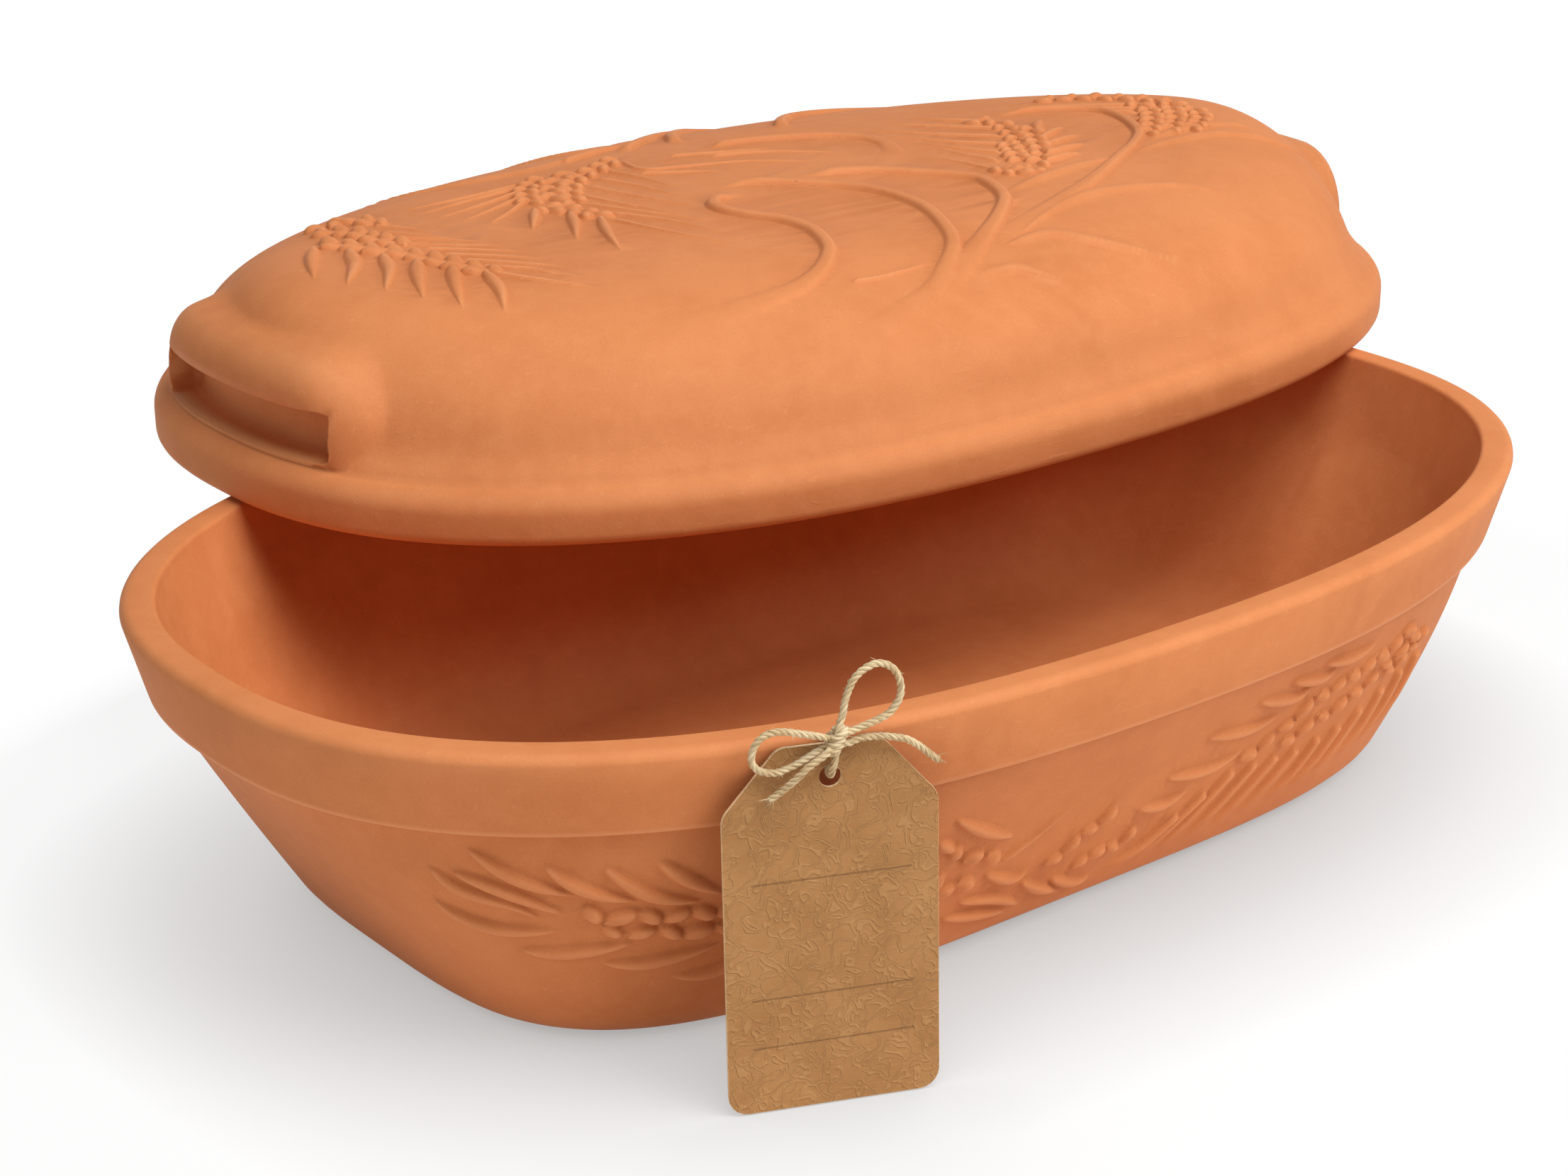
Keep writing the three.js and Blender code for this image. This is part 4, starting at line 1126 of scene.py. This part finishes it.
def mark_wear_and_shade(bm):
    """Notes on each vertex how far it stands out from, or lies below, those round it: standing out is taken
    as wear, lying below as painted shade.
    """
    bm.normal_update()
    bm.verts.index_update()
    points = vert_points(bm)
    normals = np.array([vert.normal for vert in bm.verts])
    pairs = np.array([[edge.verts[0].index, edge.verts[1].index] for edge in bm.edges])
    count = np.bincount(pairs.ravel(), minlength=len(points)).clip(1)

    def averaged(values):
        total = np.zeros_like(values)
        np.add.at(total, pairs[:, 0], values[pairs[:, 1]])
        np.add.at(total, pairs[:, 1], values[pairs[:, 0]])
        return total / (count if values.ndim == 1 else count[:, None])

    sunk = ((averaged(points) - points) * normals).sum(axis=1)
    spread = averaged((points**2).sum(axis=1)) - (averaged(points) ** 2).sum(axis=1)
    bend = sunk / np.sqrt(spread).clip(LEAST_SPACING)
    for _ in range(BEND_SMOOTHING):
        bend = averaged(bend)
    wear_and_highlight = bm.verts.layers.float.new("wear_and_highlight")
    hollow = bm.verts.layers.float.new("hollow")
    for vert, value in zip(bm.verts, bend):
        vert[wear_and_highlight] = min(1, max(0, -value - BEND_LEAST) / BEND_RANGE)
        vert[hollow] = min(1, max(0, value - BEND_LEAST) / BEND_RANGE)


def thin_out(piece):
    """Merges the faces that change the shape least, down to a limit."""
    triangles = sum(len(polygon.vertices) - 2 for polygon in piece.data.polygons)
    if triangles > TRIANGLE_LIMIT:
        piece.modifiers.new("fewer_faces", "DECIMATE").ratio = TRIANGLE_LIMIT / triangles


CLAY = clay_material()
CAST_FROM = 300

# Drawing of the bowl's relief: along the bowl and up its wall, on the side of the tag. A row of kernels has
# their number, length and width too.
BOWL_ROWS = [
    ([(-140, 42), (-134, 40.1), (-116, 38.4), (-98, 37.5), (-80, 37), (-64, 37)], 14, 6.4, 4.6),
    ([(-136, 36.4), (-122, 34), (-104, 32), (-84, 31), (-66, 31)], 12, 6.2, 4.4),
    ([(-58, 40), (-46, 33.5), (-38, 31)], 3, 6.6, 5.6),
    ([(-58, 32), (-53, 25.6), (-44, 26)], 3, 6.8, 5.4),
    ([(-20, 20.6), (-15, 24.6), (-9, 29), (-3, 32.8)], 4, 6.4, 4.6),
    ([(-8, 14.6), (-5, 18.3), (5, 18.1), (9, 23)], 4, 6, 4.6),
    ([(38, 32.8), (46, 36), (52, 39.6), (59, 44.4), (73, 46.8), (89, 49.2), (100, 53)], 11, 6.6, 4.8),
    ([(53, 31.9), (61, 35), (73, 37.4), (83, 40.5), (97, 45.8), (106, 49)], 9, 6, 4.4),
    ([(92, 40), (102, 43), (112, 47)], 4, 5.6, 4.2),
]
BOWL_BLADES = [
    [(-164, 52.1), (-159, 46.8), (-151, 43.4), (-146, 39.6)],
    [(-161, 51.6), (-152, 46.8), (-142, 40.8)],
    [(-160, 58.6), (-154, 52.8), (-148, 49), (-141, 46.3)],
    [(-161, 42), (-157, 38.4), (-151, 35.7), (-142, 36)],
    [(-148, 54.8), (-143, 50), (-137, 46.3), (-130, 43.9)],
    [(-138, 54.1), (-132, 48.5), (-126, 44.4), (-117, 41.7)],
    [(-128, 54.3), (-121, 48.5), (-113, 43.2)],
    [(-112, 53), (-104, 47), (-94, 42)],
    [(-96, 52), (-88, 46.5), (-78, 41.5)],
    [(-147, 29.9), (-142, 29.4), (-135, 30.4), (-128, 31.9)],
    [(-133, 26.1), (-126, 25.3), (-119, 26.3), (-110, 28.2)],
    [(-118, 19.8), (-112, 19.3), (-107, 20.5), (-98, 25)],
    [(-102, 17), (-94, 18), (-84, 24)],
    [(-59, 49.2), (-48, 42), (-37, 36.4)],
    [(-41, 26.1), (-30, 20.5), (-25, 21.5)],
    [(-46, 19.1), (-34, 15.9), (-22, 9)],
    [(-49, 15), (-38, 12.1), (-26, 8.5)],
    [(-62, 43.4), (-55, 38.6)],
    [(-26, 17.9), (-17, 12.1), (-9, 8.5)],
    [(-15, 14.7), (-5, 9.5), (1, 9)],
    [(6, 29), (15, 27.5), (23, 29.7)],
    [(11, 36.9), (26, 34.7), (38, 36.4)],
    [(19, 46.8), (35, 44.2), (46, 44.9)],
    [(33, 53.1), (49, 49), (55, 51.9)],
    [(44, 55.5), (58, 51.9), (63, 53.3)],
    [(56, 56.7), (69, 54.5), (79, 55.5)],
]
BOWL_STALK = [(-37, 28.5), (-29, 33.3), (-23, 38.1), (-17, 41.3)]
BOWL_STALKS_FROM = [(24, 21.2), (39, 31.1), (64, 28.2), (82, 29.4), (98, 36), (112, 40)]
BOWL_STALKS_TO = [(6, 8), (20, 8), (45, 8.5), (70, 10.6), (96, 14), (110, 16)]
BOWL_STALK_COUNT = 12
BOWL_KERNELS = {"height": 1.8, "tilt": 0.5, "spread": 0}


def make_bowl():
    """The bowl, with its relief on the front and, turned half round, on the back."""
    shares = ring_shares()
    rings = np.array([oval_ring(*oval, shares) for oval in bowl_ovals()])
    bm = bmesh.new()
    loft(bm, rings, capped=True)
    bmesh.ops.recalc_face_normals(bm, faces=bm.faces)
    relief = Relief(bm, lambda point: (Vector((point[0], -CAST_FROM, point[1])), Vector((0, 1, 0))))
    for turned in (False, True):
        for points, count, length, width in BOWL_ROWS:
            relief.row(points, count, length, width, turned=turned, **BOWL_KERNELS)
        for points in BOWL_BLADES:
            relief.ridge(points, "blade", width=4.4, height=1.8, turned=turned)
        relief.ridge(BOWL_STALK, "awn", width=2.2, height=1, turned=turned)
        relief.fan(
            BOWL_STALKS_FROM, BOWL_STALKS_TO, BOWL_STALK_COUNT, "stem", width=3.6, height=1.6, turned=turned
        )
    carve(bm, relief)
    mark_wear_and_shade(bm)
    # Painted highlight: the band's lower edge is given the full pale mark, a line where light catches it
    wear_and_highlight = bm.verts.layers.float["wear_and_highlight"]
    for vert in bm.verts:
        if BAND_HIGHLIGHT[0] < vert.co.z < BAND_HIGHLIGHT[1] and vert.normal.xy.dot(vert.co.xy) > 0:
            vert[wear_and_highlight] = 1
    thin_out(finished_piece(bm, "bowl_shell", "bowl", CLAY, ["bowl"]))


make_bowl()

# Drawing of the lid's relief, seen from above, in the lid's own frame. A row of kernels has their number,
# length and width too, and a fan of lines has where they start, where they end and their number.
LID_ROWS = [
    ([(-122, -28), (-126, -15), (-130, 1), (-135, 12), (-141, 26)], 17, 7.6, 5.2),
    ([(-126, 10), (-128, 19), (-129, 29), (-133, 38)], 10, 7, 5),
    ([(-119, 32), (-120, 44), (-126, 46), (-134, 42)], 8, 6.6, 4.8),
    ([(-27, 52), (-39, 45), (-51, 38), (-58, 31), (-65, 20), (-68, 14)], 15, 6.4, 4.6),
    ([(-47, 46), (-56, 40), (-64, 31), (-70, 21)], 8, 8, 5.6),
    ([(-57, 46), (-67, 39), (-73, 30), (-77, 22)], 10, 6.4, 4.6),
    ([(-78, 18), (-74, 14), (-71, 8), (-70, -1)], 8, 6.6, 5),
    ([(81, 22), (87, 17), (84, 7), (76, -7), (67, -20)], 14, 6.6, 4.8),
    ([(90, 3), (80, -10), (72, -21), (60, -32)], 12, 6.4, 4.6),
    ([(71, -8), (65, -17), (60, -25)], 7, 6.4, 4.8),
    ([(48, -28), (50, -34), (57, -36)], 7, 6, 4.4),
    ([(118, 31), (130, 26), (140, 16), (146, 5), (145, -4)], 14, 6.4, 4.6),
    ([(138, 8), (134, -3), (123, -15), (111, -25)], 12, 6.6, 4.8),
    ([(143, -3), (132, -16), (119, -26)], 10, 6.4, 4.6),
    ([(147, -8), (140, -19), (126, -28)], 10, 6, 4.4),
]
LID_AWNS = [
    ([(-121, 32), (-125, 20), (-126, 11), (-124, -2), (-122, -16), (-122, -28)],
     [(-113, 16), (-112, 7), (-105, -5), (-104, -18), (-104, -34), (-106, -51)], 9),
    ([(-38, 42), (-52, 31), (-60, 24), (-65, 16), (-68, 5), (-69, -4)],
     [(-34, 16), (-38, 9), (-41, -5), (-51, -7), (-48, -21), (-57, -44)], 7),
    ([(-58, 46), (-68, 39), (-76, 27)], [(-107, 43), (-104, 30), (-96, 14)], 5),
    ([(88, 18), (81, 7), (74, -4), (57, -20), (47, -28)],
     [(74, 38), (54, 35), (51, 20), (53, 4), (44, -3)], 7),
    ([(136, 6), (130, -2)], [(116, 26), (112, 20)], 3),
]
LID_SPIKES = [
    ([(-145, 22), (-140, 13), (-135, 1), (-132, -7), (-128, -16), (-124, -27)],
     [(-159, -2), (-156, -12), (-151, -21), (-147, -28), (-142, -39), (-133, -49)], 6),
    ([(-80, 16), (-74, 8), (-71, -2)], [(-91, 1), (-88, -14), (-85, -31)], 3),
    ([(90, 0), (82, -12), (76, -20), (66, -30)], [(101, 10), (99, -4), (93, -18), (81, -28)], 5),
]
LID_FADING_STEMS = [
    [(-27, -3), (-34, -5), (-39, -10), (-40, -17), (-38, -25), (-34, -35), (-34, -46), (-38, -57),
     (-43, -64), (-52, -71), (-62, -75), (-73, -76), (-87, -76), (-101, -74), (-114, -72)],
    [(-23, 7), (-15, 4), (-7, -4), (2, -16), (6, -29), (5, -45), (-1, -61), (-8, -73), (-18, -82),
     (-28, -89), (-41, -93), (-55, -96), (-70, -97), (-86, -97)],
    [(3, 2), (18, -6), (28, -18), (36, -31), (35, -40), (29, -52), (17, -63), (1, -74), (-12, -82),
     (-28, -90), (-44, -96), (-59, -99)],
]
LID_STEMS = [
    [(96, 24), (111, 20), (122, 10), (122, -2), (113, -19), (102, -29), (87, -38), (64, -51), (39, -62),
     (19, -70), (4, -75)],
    [(4, 48), (17, 45), (31, 39), (42, 30), (45, 20), (41, 9), (35, 3)],
]
LID_LINES = [
    [(-27, 51), (-29, 37), (-19, 32), (-1, 26), (15, 14)],
    [(-14, 45), (2, 39), (16, 34)],
    [(-5, 37), (11, 31), (27, 18)],
    [(-33, 33), (-23, 27), (-12, 21)],
    [(-48, -79), (-37, -80), (-22, -79)],
]
LID_LEAVES = [
    [(96, -36), (112, -34), (129, -34), (141, -38), (152, -42), (163, -42)],
    [(109, -28), (130, -25), (145, -28), (149, -34)],
    [(14, -75), (32, -67), (51, -61), (69, -62), (83, -65), (92, -70), (99, -76)],
    [(5, -79), (21, -78), (31, -85), (41, -91), (52, -96)],
    [(-12, -88), (-1, -89), (5, -93), (9, -97)],
    [(36, -47), (57, -41), (76, -38), (85, -38)],
]
LID_KERNELS = {"height": 1.7, "tilt": 0.6, "spread": 1.9}
# Stems and leaves with their form, width and height. Only what lies on the near slope is repeated on the
# far one.
LID_REPEATED = (
    (LID_FADING_STEMS, "fading_stem", 4.8, 1.7),
    (LID_STEMS, "stem", 4, 1.5),
    (LID_LEAVES, "leaf", 5.4, 1.1),
)
FAR_SLOPE = -52


def make_lid():
    """The lid, with its grips, their pockets and the relief on its top."""
    rings, ovals, dome_count, vault_start = lid_rings()
    raise_grips(rings, ovals, dome_count, vault_start)
    bm = bmesh.new()
    loft(bm, rings, capped=False)
    bmesh.ops.remove_doubles(bm, verts=bm.verts, dist=MERGE_GAP)
    bmesh.ops.recalc_face_normals(bm, faces=bm.faces)
    for end in (1, -1):
        cut_pocket(bm, end)
    relief = Relief(bm, lambda point: (Vector((point[0], point[1], CAST_FROM)), Vector((0, 0, -1))))
    for points, count, length, width in LID_ROWS:
        relief.row(points, count, length, width, **LID_KERNELS)
    for starts, ends, count in LID_AWNS:
        relief.fan(starts, ends, count, "awn", width=2, height=0.9)
    for starts, ends, count in LID_SPIKES:
        relief.fan(starts, ends, count, "spike", width=4.6, height=1.5)
    for points in LID_LINES:
        relief.ridge(points, "awn", width=2.2, height=0.9)
    for shapes, form, width, height in LID_REPEATED:
        for points in shapes:
            relief.ridge(points, form, width, height)
            far = [point for point in points if point[1] < FAR_SLOPE]
            if len(far) > 2:
                relief.ridge(far, form, width, height, turned=True)
    carve(bm, relief)
    mark_wear_and_shade(bm)
    bmesh.ops.translate(bm, vec=LID_PLACE, verts=bm.verts)
    thin_out(finished_piece(bm, "lid_shell", "lid", CLAY, ["lid"]))


make_lid()


# Floor and light


# The table, in metres: plain white past an oval round the object, and nearly so inside it
FLOOR_HALF = 3.0
FLOOR_OVAL = (0.7, 1, 0)
CLEAR_LEAST = 0.86
CLEAR_NEAR = 0.12
CLEAR_FAR = 0.22
TABLE_COLOUR = (0.9, 0.9, 0.9, 1)
TABLE_BOUNCE = (0.90, 0.81, 0.73, 1)
# Painted contact shadow: the grey the glowing floor turns to where the object is close, how far it reaches
# and its samples
PAINTED_SHADOW_COLOUR = (0.44, 0.42, 0.41, 1)
CONTACT_REACH = 0.065
CONTACT_SAMPLES = 16
WHITE = (1, 1, 1, 1)

# Square lamps of one size, aimed at one point: place and power in watts
LAMPS = {
    "front_window": ((0.39, -1.06, 1.13), 15.7),
    "soft_top": ((-0.05, -0.55, 1.50), 15.2),
    "left_fill": ((-1.48, -0.26, 0.55), 3.1),
}
LAMP_SIZE = 0.9
LAMP_AIM = Vector((0, 0, 0.05))
WORLD_LIGHT = 0.05


def make_floor():
    """A white table: near by it takes a little of the object's real shadow and a painted contact shadow, and
    runs out to plain white.
    """
    paint = Paint(bpy.data.materials.new("white_table"))
    flat = paint.node("ShaderNodeVectorMath", {0: paint.place(), 1: FLOOR_OVAL}, operation="MULTIPLY")
    apart = paint.node("ShaderNodeVectorMath", {0: flat}, operation="LENGTH", output="Value")
    seen = paint.seen()
    colour = paint.mixed(seen, TABLE_BOUNCE, TABLE_COLOUR)
    table = paint.node("ShaderNodeBsdfPrincipled", {"Base Color": colour, "Roughness": 0.6})
    openness = paint.node(
        "ShaderNodeAmbientOcclusion", {"Distance": CONTACT_REACH}, output="AO", samples=CONTACT_SAMPLES
    )
    # The floor glows white, with a painted contact shadow where the object is close
    glow_with_painted_shadow = paint.mixed(openness, PAINTED_SHADOW_COLOUR, WHITE)
    white = paint.node("ShaderNodeEmission", {"Color": glow_with_painted_shadow, "Strength": 1.0})
    fade = apart.rise(CLEAR_NEAR, CLEAR_FAR).sum("MAXIMUM", CLEAR_LEAST) * seen
    shader = paint.node("ShaderNodeMixShader", {0: fade, 1: table, 2: white})
    bm = bmesh.new()
    bmesh.ops.create_grid(bm, x_segments=2, y_segments=2, size=FLOOR_HALF)
    mesh = bpy.data.meshes.new("table")
    bm.to_mesh(mesh)
    bm.free()
    mesh.materials.append(paint.finish(shader))
    table_top = bpy.data.objects.new("table", mesh)
    scene.collection.objects.link(table_top)


def make_light():
    for name, (place, power) in LAMPS.items():
        lamp = bpy.data.lights.new(name, "AREA")
        lamp.shape = "SQUARE"
        lamp.size = LAMP_SIZE
        lamp.energy = power
        light = bpy.data.objects.new(name, lamp)
        light.location = place
        light.rotation_euler = (LAMP_AIM - light.location).to_track_quat("-Z", "Y").to_euler()
        scene.collection.objects.link(light)
    scene.world = bpy.data.worlds.new("studio")
    air = Paint(scene.world)
    strength = WORLD_LIGHT + air.seen() * (1 - WORLD_LIGHT)
    white = air.node("ShaderNodeBackground", {"Color": WHITE, "Strength": strength})
    air.node("ShaderNodeOutputWorld", {"Surface": white})
    scene.view_settings.view_transform = "Standard"


make_floor()
make_light()
